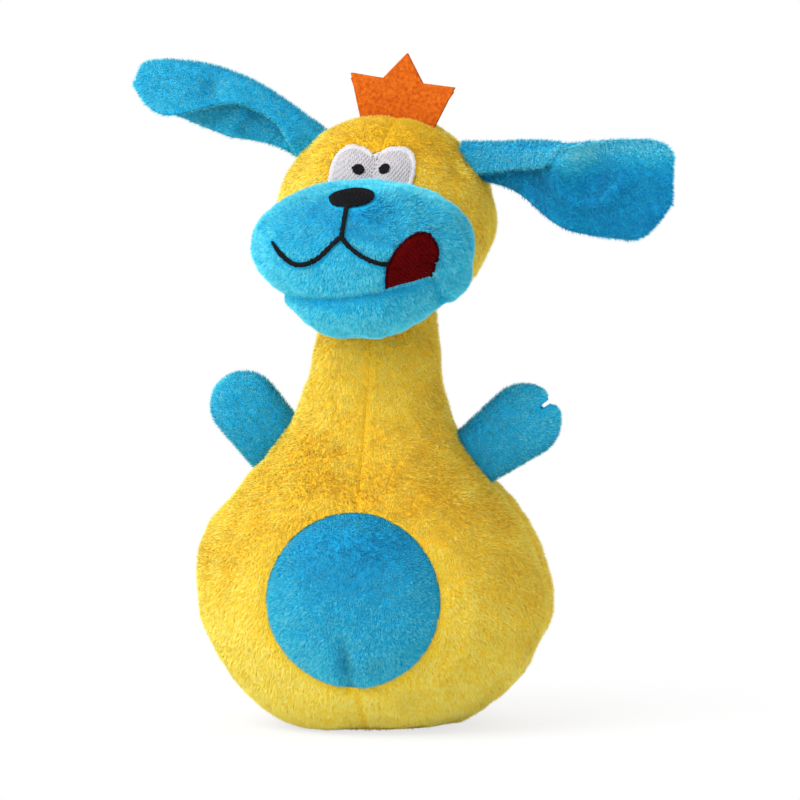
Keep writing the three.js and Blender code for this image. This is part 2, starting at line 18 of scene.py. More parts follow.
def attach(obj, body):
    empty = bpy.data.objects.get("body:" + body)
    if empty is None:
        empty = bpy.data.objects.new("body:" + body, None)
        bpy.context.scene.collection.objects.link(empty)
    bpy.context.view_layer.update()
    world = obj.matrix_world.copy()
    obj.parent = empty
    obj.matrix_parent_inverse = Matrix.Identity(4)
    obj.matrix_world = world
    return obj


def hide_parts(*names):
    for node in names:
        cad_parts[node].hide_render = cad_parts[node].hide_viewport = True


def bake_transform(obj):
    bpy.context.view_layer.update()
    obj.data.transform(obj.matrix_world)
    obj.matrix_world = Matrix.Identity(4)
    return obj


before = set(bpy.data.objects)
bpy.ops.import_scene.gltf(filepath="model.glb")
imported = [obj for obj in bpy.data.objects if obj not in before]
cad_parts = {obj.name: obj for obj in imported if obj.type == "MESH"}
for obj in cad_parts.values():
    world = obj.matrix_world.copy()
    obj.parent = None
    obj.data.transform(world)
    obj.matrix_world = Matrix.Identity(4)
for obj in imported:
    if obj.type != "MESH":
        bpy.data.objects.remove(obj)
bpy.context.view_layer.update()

# %% [markdown]
# ## Camera, floor and light
# The toy was photographed from a little above its foot and a little to its left, from far away, so
# a long lens on a distant camera gives the same flat perspective. All sizes below are millimetres,
# and MM turns them into Blender's metres when a piece is finished.

# %% Camera
MM = 0.001
AZIMUTH, ELEVATION = radians(7), radians(6)
DISTANCE = 5000
FRAME_WIDTH = 235.3  # width of the picture at the toy's distance
AIM_RIGHT, AIM_UP = 7.65, 95.3  # middle of the picture, from the middle of the foot
SENSOR = 36
CLIP_END = 100  # metres


def in_scene(name, data):
    """A new object in the scene."""
    thing = bpy.data.objects.new(name, data)
    bpy.context.scene.collection.objects.link(thing)
    return thing


right = Vector((cos(AZIMUTH), sin(AZIMUTH), 0))
back = Vector((sin(AZIMUTH) * cos(ELEVATION), -cos(AZIMUTH) * cos(ELEVATION), sin(ELEVATION)))
up = back.cross(right)
camera = in_scene("camera", bpy.data.cameras.new("camera"))
bpy.context.scene.camera = camera
camera.data.sensor_width = SENSOR
camera.data.lens = SENSOR * DISTANCE / FRAME_WIDTH
camera.data.clip_end = CLIP_END
camera.location = (right * AIM_RIGHT + up * AIM_UP + back * DISTANCE) * MM
camera.rotation_mode = "QUATERNION"
camera.rotation_quaternion = (-back).to_track_quat("-Z", "Y")
print("lens:", round(camera.data.lens), "mm")

# %% [markdown]
# A material is a small graph of nodes. Written as Python sums the graph stays readable, so this
# class wraps one socket: sums on it add Math nodes, and its node method adds any other node.


# %% Shader sums
class Shade:
    """A socket of a material, on which Python's operators add Math nodes."""

    def __init__(self, tree, socket=None):
        self.tree = tree
        self.socket = socket

    def node(self, kind, settings, sockets, out=0):
        made = self.tree.nodes.new(kind)
        for key, value in settings.items():
            if key == "stops":
                ramp = made.color_ramp.elements
                while len(ramp) < len(value):
                    ramp.new(1)
                for stop, (place, colour) in zip(ramp, value):
                    stop.position, stop.color = place, (*colour, 1)
            else:
                setattr(made, key, value)
        for key, value in sockets.items():
            if isinstance(value, Shade):
                self.tree.links.new(value.socket, made.inputs[key])
            else:
                made.inputs[key].default_value = value
        return Shade(self.tree, made.outputs[out])

    def math(self, operation, *values):
        return self.node("ShaderNodeMath", {"operation": operation}, dict(enumerate(values)))

    def __add__(self, other):
        return self.math("ADD", self, other)

    def __sub__(self, other):
        return self.math("SUBTRACT", self, other)

    def __rsub__(self, other):
        return self.math("SUBTRACT", other, self)

    def __mul__(self, other):
        return self.math("MULTIPLY", self, other)

    __radd__ = __add__


def new_material(name):
    """A material with its tree and its main shader."""
    material = bpy.data.materials.new(name)
    material.use_nodes = True
    return material, Shade(material.node_tree), material.node_tree.nodes["Principled BSDF"]


def feed(tree, shade, shader, socket):
    tree.tree.links.new(shade.socket, shader.inputs[socket])


# %% [markdown]
# The floor and the backdrop are white to the camera, as in a catalogue picture, and plain pale
# surfaces to everything else. Near the toy a part of the floor's own shading is kept, so that its
# shadow shows. A large lamp on the left is the main light, and a weak one on the right fills in.

# %% Floor and light
FLOOR_SHARE = 0.3  # share of the floor's own shading that the camera sees at the toy
SHADOW_REACH = 0.16  # distance at which the floor has faded to white
FLOOR_SIZE = 6
AMBIENT = 0.82  # strength of the light from all sides
LAMPS = (  # name, place, size and power, in metres and watts
    ("key", (-0.65, -0.65, 0.8), 0.9, 14.5),
    ("fill", (0.8, -0.9, 0.35), 0.8, 1.2),
)
LAMP_AIM = Vector((0, 0, 0.1))


def seen_directly(tree):
    """1 for the camera and for what mirrors or passes its rays, else 0."""
    rays = tree.tree.nodes.new("ShaderNodeLightPath")
    names = ("Is Camera Ray", "Is Glossy Ray", "Is Transmission Ray")
    camera_ray, glossy, through = (Shade(tree.tree, rays.outputs[name]) for name in names)
    return camera_ray.math("MAXIMUM", camera_ray, glossy.math("MAXIMUM", glossy, through))


floor_mesh = bmesh.new()
bmesh.ops.create_grid(floor_mesh, x_segments=1, y_segments=1, size=FLOOR_SIZE)
floor = in_scene("floor", bpy.data.meshes.new("floor"))
floor_mesh.to_mesh(floor.data)
floor_mesh.free()
floor_paint, tree, shader = new_material("pale_floor")
shader.inputs["Base Color"].default_value = (0.9, 0.9, 0.9, 1)
shader.inputs["Roughness"].default_value = 0.9
white = tree.node("ShaderNodeEmission", {}, {"Color": (1, 1, 1, 1), "Strength": 1.0})
plain = Shade(tree.tree, shader.outputs[0])
place = tree.node("ShaderNodeTexCoord", {}, {}, "Object")
away = tree.node("ShaderNodeVectorMath", {"operation": "LENGTH"}, {0: place}, "Value")
near = away.math("MAXIMUM", 1 - away * (1 / SHADOW_REACH), 0.0)
share = seen_directly(tree) * (1 - near * FLOOR_SHARE)
mixed = tree.node("ShaderNodeMixShader", {}, {0: share, 1: plain, 2: white})
tree.tree.links.new(mixed.socket, tree.tree.nodes["Material Output"].inputs["Surface"])
floor.data.materials.append(floor_paint)

world = bpy.data.worlds.new("studio")
bpy.context.scene.world = world
world.use_nodes = True
sky = Shade(world.node_tree)
strength = AMBIENT + seen_directly(sky) * (1 - AMBIENT)
sky.tree.links.new(strength.socket, sky.tree.nodes["Background"].inputs["Strength"])
sky.tree.nodes["Background"].inputs["Color"].default_value = (1, 1, 1, 1)

for name, place, size, power in LAMPS:
    lamp = in_scene(name, bpy.data.lights.new(name, "AREA"))
    lamp.data.size, lamp.data.energy = size, power
    lamp.location = place
    lamp.rotation_mode = "QUATERNION"
    lamp.rotation_quaternion = (LAMP_AIM - Vector(place)).to_track_quat("-Z", "Y")
view = bpy.context.scene.view_settings
view.view_transform = "Standard"

# %% [markdown]
# ## Finishes
# Plush is a knitted cloth with a cut pile. Each lock of pile below is a small blade of mesh that
# carries two numbers: shade, which runs from its root to its tip, and tint, which differs from
# tuft to tuft. Shade is painted into the colour: the root is dark and warm, as shade low in the
# pile makes it, and the tip is light.

# %% Plush
# Colours from the root, darkened as painted shade, through the middle to the light tip.
YELLOW = [(0.76, 0.34, 0.004), (0.90, 0.73, 0.048), (0.94, 0.91, 0.33)]
BLUE = [(0.003, 0.20, 0.53), (0.021, 0.53, 0.71), (0.26, 0.79, 0.85)]
PATCH_SIZE = 14  # patches of painted light and shade, as brushed pile shows them, in millimetres
ROOT_LEVEL = 0.26  # where an average root lies between the first colour (0) and the last (1)
BY_SHADE, BY_TINT, BY_PATCH = 0.55, 0.5, 0.14  # what each adds to that level


def plush_material(name, colours):
    material, tree, shader = new_material(name)
    shade = tree.node("ShaderNodeAttribute", {"attribute_name": "shade"}, {}, "Fac")
    tint = tree.node("ShaderNodeAttribute", {"attribute_name": "tint"}, {}, "Fac")
    place = tree.node("ShaderNodeTexCoord", {}, {}, "Object")
    # The patch noise paints lighter and darker patches, as brushed pile shows them under light.
    sockets = {"Vector": place, "Scale": 1 / (PATCH_SIZE * MM), "Detail": 2.0}
    patch = tree.node("ShaderNodeTexNoise", {}, sockets)
    # The level is painted shade towards each root, plus the random tint and the painted patches.
    level = shade * BY_SHADE + (tint - 0.5) * BY_TINT + (patch - 0.5) * BY_PATCH + ROOT_LEVEL
    stops = list(zip((0.0, 0.5, 1.0), colours))
    colour = tree.node("ShaderNodeValToRGB", {"stops": stops}, {0: level})
    feed(tree, colour, shader, "Base Color")
    shader.inputs["Roughness"].default_value = 0.85
    shader.inputs["Specular IOR Level"].default_value = 0.06
    shader.inputs["Sheen Weight"].default_value = 0.6
    shader.inputs["Sheen Roughness"].default_value = 0.35
    shader.inputs["Sheen Tint"].default_value = (*colours[2], 1)
    return material


yellow_plush = plush_material("yellow_plush", YELLOW)
blue_plush = plush_material("blue_plush", BLUE)
print("plush:", yellow_plush.name, blue_plush.name)

# %% [markdown]
# Embroidery thread is smoother than pile, felt is a flat mat of fibres, the squeaker is moulded in
# soft plastic, and the stuffing is white fibre. Each gets fine grain from noise at its own scale.

# %% Thread, felt, plastic and fibre


def grained(name, dark, light, grain, roughness, bump=0.0, stretch=(1, 1, 1), gloss=0.3):
    """A finish that varies between two colours in grains of the given size."""
    material, tree, shader = new_material(name)
    place = tree.node("ShaderNodeTexCoord", {}, {}, "Object")
    placed = tree.node("ShaderNodeMapping", {}, {"Vector": place, "Scale": stretch})
    sockets = {"Vector": placed, "Scale": 1 / (grain * MM), "Detail": 4.0, "Roughness": 0.6}
    noise = tree.node("ShaderNodeTexNoise", {}, sockets)
    stops = [(0.3, dark), (0.7, light)]
    feed(tree, tree.node("ShaderNodeValToRGB", {"stops": stops}, {0: noise}), shader, "Base Color")
    feed(tree, noise * 0.3 + (roughness - 0.15), shader, "Roughness")
    shader.inputs["Specular IOR Level"].default_value = gloss
    if bump:
        sockets = {"Height": noise, "Strength": 0.5, "Distance": bump * MM}
        feed(tree, tree.node("ShaderNodeBump", {}, sockets), shader, "Normal")
    return material


eye_thread = grained("eye_thread", (0.41, 0.39, 0.41), (0.55, 0.53, 0.55), 0.7, 0.7)
rim_thread = grained("rim_thread", (0.53, 0.51, 0.54), (0.68, 0.67, 0.69), 0.7, 0.6)
black_thread = grained(
    "black_thread", (0.004, 0.004, 0.005), (0.011, 0.011, 0.013), 0.6, 0.6, gloss=0.06
)
red_thread = grained(
    "red_thread", (0.055, 0.001, 0.001), (0.13, 0.002, 0.003), 0.6, 0.7, gloss=0.02
)
dark_red_thread = grained(
    "dark_red_thread", (0.015, 0.0005, 0.001), (0.05, 0.001, 0.002), 0.6, 0.7, gloss=0.02
)
orange_felt = grained(
    "orange_felt", (0.36, 0.050, 0.002), (0.62, 0.132, 0.009), 1.1, 0.95, 0.6, gloss=0.1
)
white_fibre = grained("white_fibre", (0.70, 0.70, 0.67), (0.90, 0.90, 0.87), 1.5, 0.9, 0.6)
soft_plastic = grained("soft_plastic", (0.70, 0.68, 0.60), (0.80, 0.78, 0.71), 4, 0.45, 0.02)
hard_plastic = grained("hard_plastic", (0.84, 0.84, 0.84), (0.92, 0.92, 0.92), 3, 0.35, 0.01)
reed_film = grained("reed_film", (0.60, 0.70, 0.75), (0.72, 0.80, 0.84), 5, 0.25)
print("finishes:", len(bpy.data.materials))

# %% [markdown]
# The squeaker keeps its solids: a bellows with a reed in its back face. They only need finishes.

# %% Squeaker finishes
for finish, names in (
    (soft_plastic, ("squeaker_front", "squeaker_back")),
    (hard_plastic, ("reed_housing", "reed_block", "reed_clamp")),
    (reed_film, ("reed",)),
):
    for name in names:
        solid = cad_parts[name].data
        solid.materials.clear()
        solid.materials.append(finish)
print("squeaker solids finished")

# %% [markdown]
# ## Pile
# A lock of pile is one blade: a face that narrows to a point, made once and then set down
# thousands of times. Particle hair would be quicker to comb, but it is lost on export, so the
# locks are real mesh. They are scattered evenly by area and lean along the nap.

# %% One lock


def lock_shape():
    """Places across and along a blade of pile, and its faces."""
    bm = bmesh.new()
    bmesh.ops.create_grid(bm, x_segments=1, y_segments=1, size=0.5)
    tip = [v for v in bm.verts if v.co.y > 0.4]
    bmesh.ops.pointmerge(bm, verts=tip, merge_co=(0, 0.5, 0))
    bm.verts.index_update()
    across = np.array([v.co.x for v in bm.verts])
    along = np.array([v.co.y + 0.5 for v in bm.verts])
    faces = [[v.index for v in f.verts] for f in bm.faces]
    bm.free()
    return across, along, faces


LOCK_ACROSS, LOCK_ALONG, LOCK_FACES = lock_shape()
print("a lock has", len(LOCK_ACROSS), "points and faces", LOCK_FACES)

# %% [markdown]
# Pile is worked out for many thousands of places at once, as rows of an array. These helpers give
# smooth random values, smooth lines through a few points, and places spread evenly over a mesh.

# %% Helpers for points


def unit(vectors):
    return vectors / np.maximum(np.linalg.norm(vectors, axis=1), 1e-9)[:, None]


def wander(points, size, seed):
    """A smooth random value between about -1 and 1 that changes over the given size."""
    draw = np.random.default_rng(seed)
    waves = draw.normal(size=(3, 10)) / size * 2
    return np.sin(points @ waves + draw.uniform(0, tau, 10)).mean(axis=1) * 2


def curve_through(points, steps):
    """A smooth line through points, by the same rule as the solids' curves."""
    line = []
    last = len(points) - 1
    for i in range(last):
        a, b, c, d = (np.array(points[min(max(i + k, 0), last)], float) for k in (-1, 0, 1, 2))
        enter, leave = (c - a) / 2, (d - b) / 2
        for t in np.arange(steps) / steps:
            cubic = (2 * b - 2 * c + enter + leave) * t**3
            line.append(cubic + (-3 * b + 3 * c - 2 * enter - leave) * t**2 + enter * t + b)
    return np.array([*line, points[-1]])


def stations(*values):
    """A smooth function from 0 to 1 through evenly spaced values."""
    line = curve_through(list(zip(np.linspace(0, 1, len(values)), values)), 24)
    return lambda t: np.interp(t, line[:, 0], line[:, 1])


def mesh_points(mesh):
    points = np.empty(len(mesh.vertices) * 3)
    mesh.vertices.foreach_get("co", points)
    normals = np.empty(len(mesh.vertices) * 3)
    mesh.vertices.foreach_get("normal", normals)
    return points.reshape(-1, 3), normals.reshape(-1, 3)


def scatter(mesh, per_area, draw):
    """Random places on a mesh with their normals, evenly by area."""
    mesh.calc_loop_triangles()
    corners = np.empty(len(mesh.loop_triangles) * 3, np.int32)
    mesh.loop_triangles.foreach_get("vertices", corners)
    corners = corners.reshape(-1, 3)
    points, normals = mesh_points(mesh)
    a, b, c = (points[corners[:, i]] for i in range(3))
    areas = np.linalg.norm(np.cross(b - a, c - a), axis=1) / 2
    count = int(areas.sum() * per_area)
    picked = draw.choice(len(areas), size=count, p=areas / areas.sum())
    first, second = np.sqrt(draw.random(count)), draw.random(count)
    shares = np.stack([1 - first, first * (1 - second), first * second], axis=1)
    places = (points[corners[picked]] * shares[:, :, None]).sum(axis=1)
    facing = unit((normals[corners[picked]] * shares[:, :, None]).sum(axis=1))
    return places, facing


print("a smooth line through 0, 1 and 0 has the middle", stations(0, 1, 0)(0.5))

# %% [markdown]
# The locks of a tuft lean together, which gives plush its clumps. The nearest tuft of each lock is
# found in a tree of places, and the tips are drawn towards it.

# %% Locks on a skin
LOCK_LENGTH, LOCK_WIDTH = 1.45, 0.30
LOCK_LEAN = radians(45)  # from upright
SHORT_PILE, SHORT_LEAN = 1.2, radians(38)  # the blue cloth's pile
LENGTH_RANGE, WIDTH_RANGE = (0.72, 1.2), (0.7, 1.25)  # as shares, from lock to lock
ROOT_DEPTH = 0.25  # the root starts inside the backing
LEAN_SPREAD, ROLL_SPREAD, NAP_SPREAD = 0.1, 0.18, 0.35  # scatter of single locks, in radians
NAP_TURN, NAP_PATCH = radians(14), 7  # the nap wanders by this angle over patches of this size
TUFT_LOCKS = 10
TUFT_PULL, PULL_RANGE = 0.15, (0.5, 1.2)  # how far a tip is drawn to its tuft, and shares of it


def comb(places, facing, nap, draw, seed):
    """Directions along the skin that the locks lean in."""
    lay = unit(nap - facing * (nap * facing).sum(axis=1)[:, None])
    turn = NAP_TURN * wander(places, NAP_PATCH, seed) + draw.normal(0, NAP_SPREAD, len(places))
    side = np.cross(facing, lay)
    return lay * np.cos(turn)[:, None] + side * np.sin(turn)[:, None]


def locks(places, facing, lay, length, lean, draw):
    """Points of every lock, with their shade and tint."""
    count = len(places)
    lean = lean + draw.normal(0, LEAN_SPREAD, count)
    rise = facing * np.cos(lean)[:, None] + lay * np.sin(lean)[:, None]
    root = places - facing * ROOT_DEPTH
    tip = places + rise * (length * draw.uniform(*LENGTH_RANGE, count))[:, None]
    tree = KDTree(max(1, count // TUFT_LOCKS))
    tufts = draw.choice(count, size=max(1, count // TUFT_LOCKS), replace=False)
    for i, spot in enumerate(places[tufts]):
        tree.insert(spot, i)
    tree.balance()
    nearest = tufts[[tree.find(spot)[1] for spot in places]]
    tip += (tip[nearest] - tip) * TUFT_PULL * draw.uniform(*PULL_RANGE, count)[:, None]
    side = unit(np.cross(lay, facing))
    roll = draw.normal(0, ROLL_SPREAD, count)[:, None]
    side = unit(side * np.cos(roll) + np.cross(rise, side) * np.sin(roll))
    wide = LOCK_WIDTH * draw.uniform(*WIDTH_RANGE, count)[:, None]
    points = np.stack([
        root + (tip - root) * t + side * wide * across for across, t in zip(LOCK_ACROSS, LOCK_ALONG)
    ], axis=1)
    # shade runs from 0 at the root to 1 at the tip: the root gets painted shade
    shade = np.tile(LOCK_ALONG, (count, 1))
    tint = 0.5 * draw.random(count)[nearest] + 0.5 * draw.random(count)
    return points, shade, np.repeat(tint[:, None], len(LOCK_ALONG), axis=1)


print("pile of", LOCK_LENGTH, "mm on the yellow cloth and", SHORT_PILE, "mm on the blue")

# %% [markdown]
# A plush piece is its backing cloth and its locks in one mesh. The backing is given a thickness, so
# it is a closed sheet. A map named OFBake gives every lock its own small cell for the export.

# %% A plush piece
CLOTH = 0.8  # thickness of the backing cloth
SEAM_PILE = 0.6  # share of the pile's length that is left on a seam
# Painted shade: the backing, seen between the locks, is coloured like the shaded roots.
SKIN_SHADE = 0.2  # the backing is nearly as dark as the roots of the pile
FLOOR_GAP = 0.1  # the lowest locks lie flat on the floor
SKIN_SHARE = 0.2  # part of the map that the backing has
CELL_SHAPE, CELL_FILL = 2.6, (0.8, 0.85)  # height by width of a lock's cell, and how much it fills
PILE_DENSITY = 14.0  # locks on a square millimetre


def bake_cells(count):
    """Places in the map for each lock's points: one small cell for each lock."""
    columns = int(np.ceil(np.sqrt(count * (1 - SKIN_SHARE) * CELL_SHAPE)))
    rows = int(np.ceil(count / columns))
    width, height = (1 - SKIN_SHARE) / columns, 1 / rows
    number = np.arange(count)
    across, along = LOCK_ACROSS * width * CELL_FILL[0], (LOCK_ALONG - 0.5) * height * CELL_FILL[1]
    u = SKIN_SHARE + (number % columns + 0.5)[:, None] * width + across
    v = (number // columns + 0.5)[:, None] * height + along
    return np.stack([u, v], axis=2)


def seam_trim(distance, width=1.2):
    """Share of the pile's length that is left at a distance from a seam."""
    return 1 - (1 - SEAM_PILE) * np.exp(-((distance / width) ** 2))


def untrimmed(points):
    return np.ones(len(points))


def no_painted_tint(points, facing):
    return np.zeros(len(points))


def nowhere(points):
    return np.zeros(len(points), bool)


def plush(
    name, bm, material, nap, bare, per_area=PILE_DENSITY, length=LOCK_LENGTH, lean=LOCK_LEAN,
    seed=1, closed=False, shorten_and_shade=untrimmed, painted_tint=no_painted_tint,
):
    """Turns a skin in millimetres into a finished piece of plush in metres.

    Four of them say something of every place: the way that the pile lies, whether there is none,
    the share of its length that is left, which darkens its tint as painted shade as well, and the
    painted light and shade that is added to its tint.
    """
    skin = bpy.data.meshes.new(name)
    bm.normal_update()
    bm.to_mesh(skin)
    draw = np.random.default_rng(seed)
    places, facing = scatter(skin, per_area, draw)
    keep = ~bare(places)
    places, facing = places[keep], facing[keep]
    lay = comb(places, facing, nap(places, facing), draw, seed)
    left = shorten_and_shade(places)
    points, shade, tint = locks(places, facing, lay, length * left, lean, draw)
    points[:, :, 2] = np.maximum(points[:, :, 2], FLOOR_GAP)
    # Shorter pile is painted darker too, as shade in seams, creases and the slit; the ears add
    # painted light and shade.
    tint = tint * left[:, None] + painted_tint(places, facing)[:, None]
    if not closed:
        bmesh.ops.solidify(bm, geom=bm.faces[:], thickness=CLOTH)
    bm.to_mesh(skin)
    bm.free()
    base, _ = mesh_points(skin)
    faces = [tuple(p.vertices) for p in skin.polygons]
    low, size = base.min(axis=0), np.ptp(base, axis=0) + 1e-6
    flat = ((base - low) / size)[:, [0, 2]] * (SKIN_SHARE * 0.96, 0.98) + 0.01
    cells = bake_cells(len(points))
    first = len(base) + np.arange(len(points))[:, None] * len(LOCK_ALONG)
    lock_faces = [(first + np.array(face)).tolist() for face in LOCK_FACES]
    mesh = bpy.data.meshes.new(name)
    everything = np.concatenate([base, points.reshape(-1, 3)]) * MM
    mesh.from_pydata(everything, [], faces + [f for group in lock_faces for f in group])
    spots = np.concatenate([flat, cells.reshape(-1, 2)])
    corners = np.empty(len(mesh.loops), np.int32)
    mesh.loops.foreach_get("vertex_index", corners)
    mesh.uv_layers.new(name="OFBake").data.foreach_set("uv", spots[corners].ravel())
    for key, values in (("shade", shade), ("tint", tint)):
        level = np.concatenate([np.full(len(base), SKIN_SHADE), values.ravel()])
        mesh.attributes.new(key, "FLOAT", "POINT").data.foreach_set("value", level)
    mesh.polygons.foreach_set("use_smooth", np.ones(len(mesh.polygons), bool))
    mesh.materials.append(material)
    bpy.data.meshes.remove(skin)
    print(name, "locks:", len(points), "faces:", len(mesh.polygons))
    return in_scene(name, mesh)


print("pile left on a seam:", seam_trim(0.0), "and 3 mm from it:", round(seam_trim(3.0), 3))

# %% [markdown]
# ## Body
# The body is cut from two front panels and a back panel that run from the foot up into the neck.
# Its side is two curves, turned about the middle and made a little shallower from front to back.
# The cloth is drawn in along its seams, so the form sinks there.

# %% The body's form
FOOT_RADIUS, FOOT_SLOPE, FOOT_FULLNESS = 23, radians(24), 18
BELLY_RADIUS, BELLY_DEPTH, BELLY_HEIGHT = 52.5, 97, 39
NECK_RADIUS, NECK_HEIGHT = 18.5, 120
LOWER_FULLNESS, UPPER_FULLNESS, NECK_FULLNESS = 14.2, 36.7, 51.3
NECK_END, NECK_TOP = 127, 135  # the neck goes into the head, and its cloth ends there
BODY_STEPS = 120
TUMMY_RADIUS, TUMMY_SIDE, TUMMY_HEIGHT = 25.7, -1.1, 41
SKIN_DEPTH = 1.5  # the backing lies this far under the tips of the pile before it is filled
DEPTH_SHARE = BELLY_DEPTH / 2 / BELLY_RADIUS
# From foot to neck: what uneven filling adds to the girth, and how far it leans to the side.
GIRTH = stations(1.2, 1.0, 0.1, 0.5, 0, 0.3, 0.3, 0.5, 0.9, 0.7, 0.5)
LEAN = stations(0.2, 1.1, 1.5, 0.4, -1.2, -1.7, -1.3, -0.4, 0.5, 0.9, 0.9)
LEAN_REACH = 40  # from the middle to where the front and the back no longer lean
SIDE_SEAM, FRONT_SEAM, TUMMY_SEAM = (0.5, 1.8), (0.4, 1.6), (0.6, 1.8)  # depth and width
BODY_LUMPS = 0.4  # unevenness of the stuffing


def body_side():
    foot = (FOOT_RADIUS + FOOT_FULLNESS * cos(FOOT_SLOPE), 0, FOOT_FULLNESS * sin(FOOT_SLOPE))
    belly = (BELLY_RADIUS, 0, BELLY_HEIGHT)
    low = (BELLY_RADIUS, 0, BELLY_HEIGHT - LOWER_FULLNESS)
    high = (BELLY_RADIUS, 0, BELLY_HEIGHT + UPPER_FULLNESS)
    neck = (NECK_RADIUS, 0, NECK_HEIGHT - NECK_FULLNESS)
    top = (NECK_RADIUS, 0, NECK_HEIGHT)
    lower = interpolate_bezier((FOOT_RADIUS, 0, 0), foot, low, belly, 22)
    upper = interpolate_bezier(belly, high, neck, top, 44)
    line = lower + upper[1:] + [
        Vector((NECK_RADIUS - 1, 0, NECK_END)), Vector((NECK_RADIUS - 4, 0, NECK_TOP)),
    ]
    return [p + Vector((GIRTH(p.z / NECK_END), 0, 0)) for p in line]


def outward(bm):
    """Turns all faces of a round form outwards."""
    bmesh.ops.recalc_face_normals(bm, faces=bm.faces[:])
    middle = sum((v.co for v in bm.verts), Vector()) / len(bm.verts)
    if sum((f.calc_center_median() - middle).dot(f.normal) for f in bm.faces) < 0:
        bmesh.ops.reverse_faces(bm, faces=bm.faces[:])
    bm.normal_update()


def sink(bm, depth):
    """Moves each point into the form by a depth that may differ from place to place."""
    bm.normal_update()
    for v, move in [(v, v.normal * depth(v.co)) for v in bm.verts]:
        v.co -= move


def dip(distance, depth, width):
    return depth * exp(-((distance / width) ** 2))


def from_tummy(p):
    """Distance from the tummy's edge, seen from the front. It is negative on the tummy."""
    return sqrt((p.x - TUMMY_SIDE) ** 2 + (p.z - TUMMY_HEIGHT) ** 2) - TUMMY_RADIUS


def body_depth(p):
    """How far the body's skin is drawn in along its seams and by the lumps of its stuffing."""
    ring = from_tummy(p)
    seams = dip(p.y, *SIDE_SEAM)
    if p.y < 0:
        seams = max(seams, dip(ring, *TUMMY_SEAM))
        if ring > 0:
            depth, width = FRONT_SEAM
            seams = max(seams, dip(p.x, depth * min(1, max(0, p.z - 4) / 14), width))
    return seams + BODY_LUMPS * sin(p.x / 9 + p.z / 13) * sin(p.z / 8 - p.y / 11)


def spun(points, axis, steps, closed=False):
    """A line of points, turned all the way round an axis."""
    bm = bmesh.new()
    line = [bm.verts.new(p) for p in points]
    ends = line[1:] + line[:1] if closed else line[1:]
    edges = [bm.edges.new(pair) for pair in zip(line, ends)]
    bmesh.ops.spin(
        bm, geom=line + edges, axis=axis, cent=(0, 0, 0), angle=tau, steps=steps, use_merge=True
    )
    bmesh.ops.remove_doubles(bm, verts=bm.verts[:], dist=0.01)
    return bm


def body_form():
    bm = spun(body_side(), (0, 0, 1), BODY_STEPS)
    bmesh.ops.scale(bm, vec=(1, DEPTH_SHARE, 1), verts=bm.verts[:])
    bmesh.ops.holes_fill(bm, edges=bm.edges[:], sides=0)
    outward(bm)
    return bm


def lean_at(y, z):
    """How far the body leans to the side at a place. The flat front with the tummy doesn't."""
    return LEAN(z / NECK_END) * np.maximum(0, 1 - np.abs(y) / LEAN_REACH)


def leaned(bm):
    """Gives a form that was made upright the toy's lean."""
    for v in bm.verts:
        v.co.x += lean_at(v.co.y, v.co.z)
    return bm


def upright(points):
    """Points of the leaning body, as they were before it leaned."""
    return points - np.outer(lean_at(points[:, 1], points[:, 2]), (1, 0, 0))


def cut_away(bm, *planes):
    """A copy of a form with everything in front of each plane taken away."""
    part = bm.copy()
    for place, facing in planes:
        bmesh.ops.bisect_plane(
            part, geom=part.verts[:] + part.edges[:] + part.faces[:], dist=1e-4,
            plane_co=place, plane_no=facing, clear_outer=True,
        )
    return part


print("the body's side has", len(body_side()), "points")

# %% [markdown]
# The stuffing blows the cover up between its seams. A cloth simulation does the same: the form is
# made an even mesh, starts a little small and is held along its seams while a pressure swells it.
# No point may move further than the stuffing would push it. Fine seams are drawn in afterwards.

# %% Filling a cover
PRESSURE, FILLING_FRAMES = 4, 20
COVER_WEIGHT, COVER_STIFFNESS = 0.001, 0.01  # a light cloth that gives easily


def drafted(bm):
    """A form as an object in the scene, for as long as a modifier needs it."""
    mesh = bpy.data.meshes.new("draft")
    bm.to_mesh(mesh)
    bm.free()
    return in_scene("draft", mesh)


def shape_of(draft):
    """A new mesh of an object's form with its modifiers."""
    graph = bpy.context.evaluated_depsgraph_get()
    return bpy.data.meshes.new_from_object(draft.evaluated_get(graph))


def modified(bm, kind, **settings):
    """A form after a modifier of a kind has worked on it."""
    draft = drafted(bm)
    modifier = draft.modifiers.new("work", kind)
    for name, value in settings.items():
        setattr(modifier, name, value)
    shape = shape_of(draft)
    after = bmesh.new()
    after.from_mesh(shape)
    for mesh in (draft.data, shape):
        bpy.data.meshes.remove(mesh)
    return after


def remeshed(bm, voxel):
    """The outer shape of a form that may be several eggs, as one even mesh."""
    return modified(bm, "REMESH", mode="VOXEL", voxel_size=voxel)


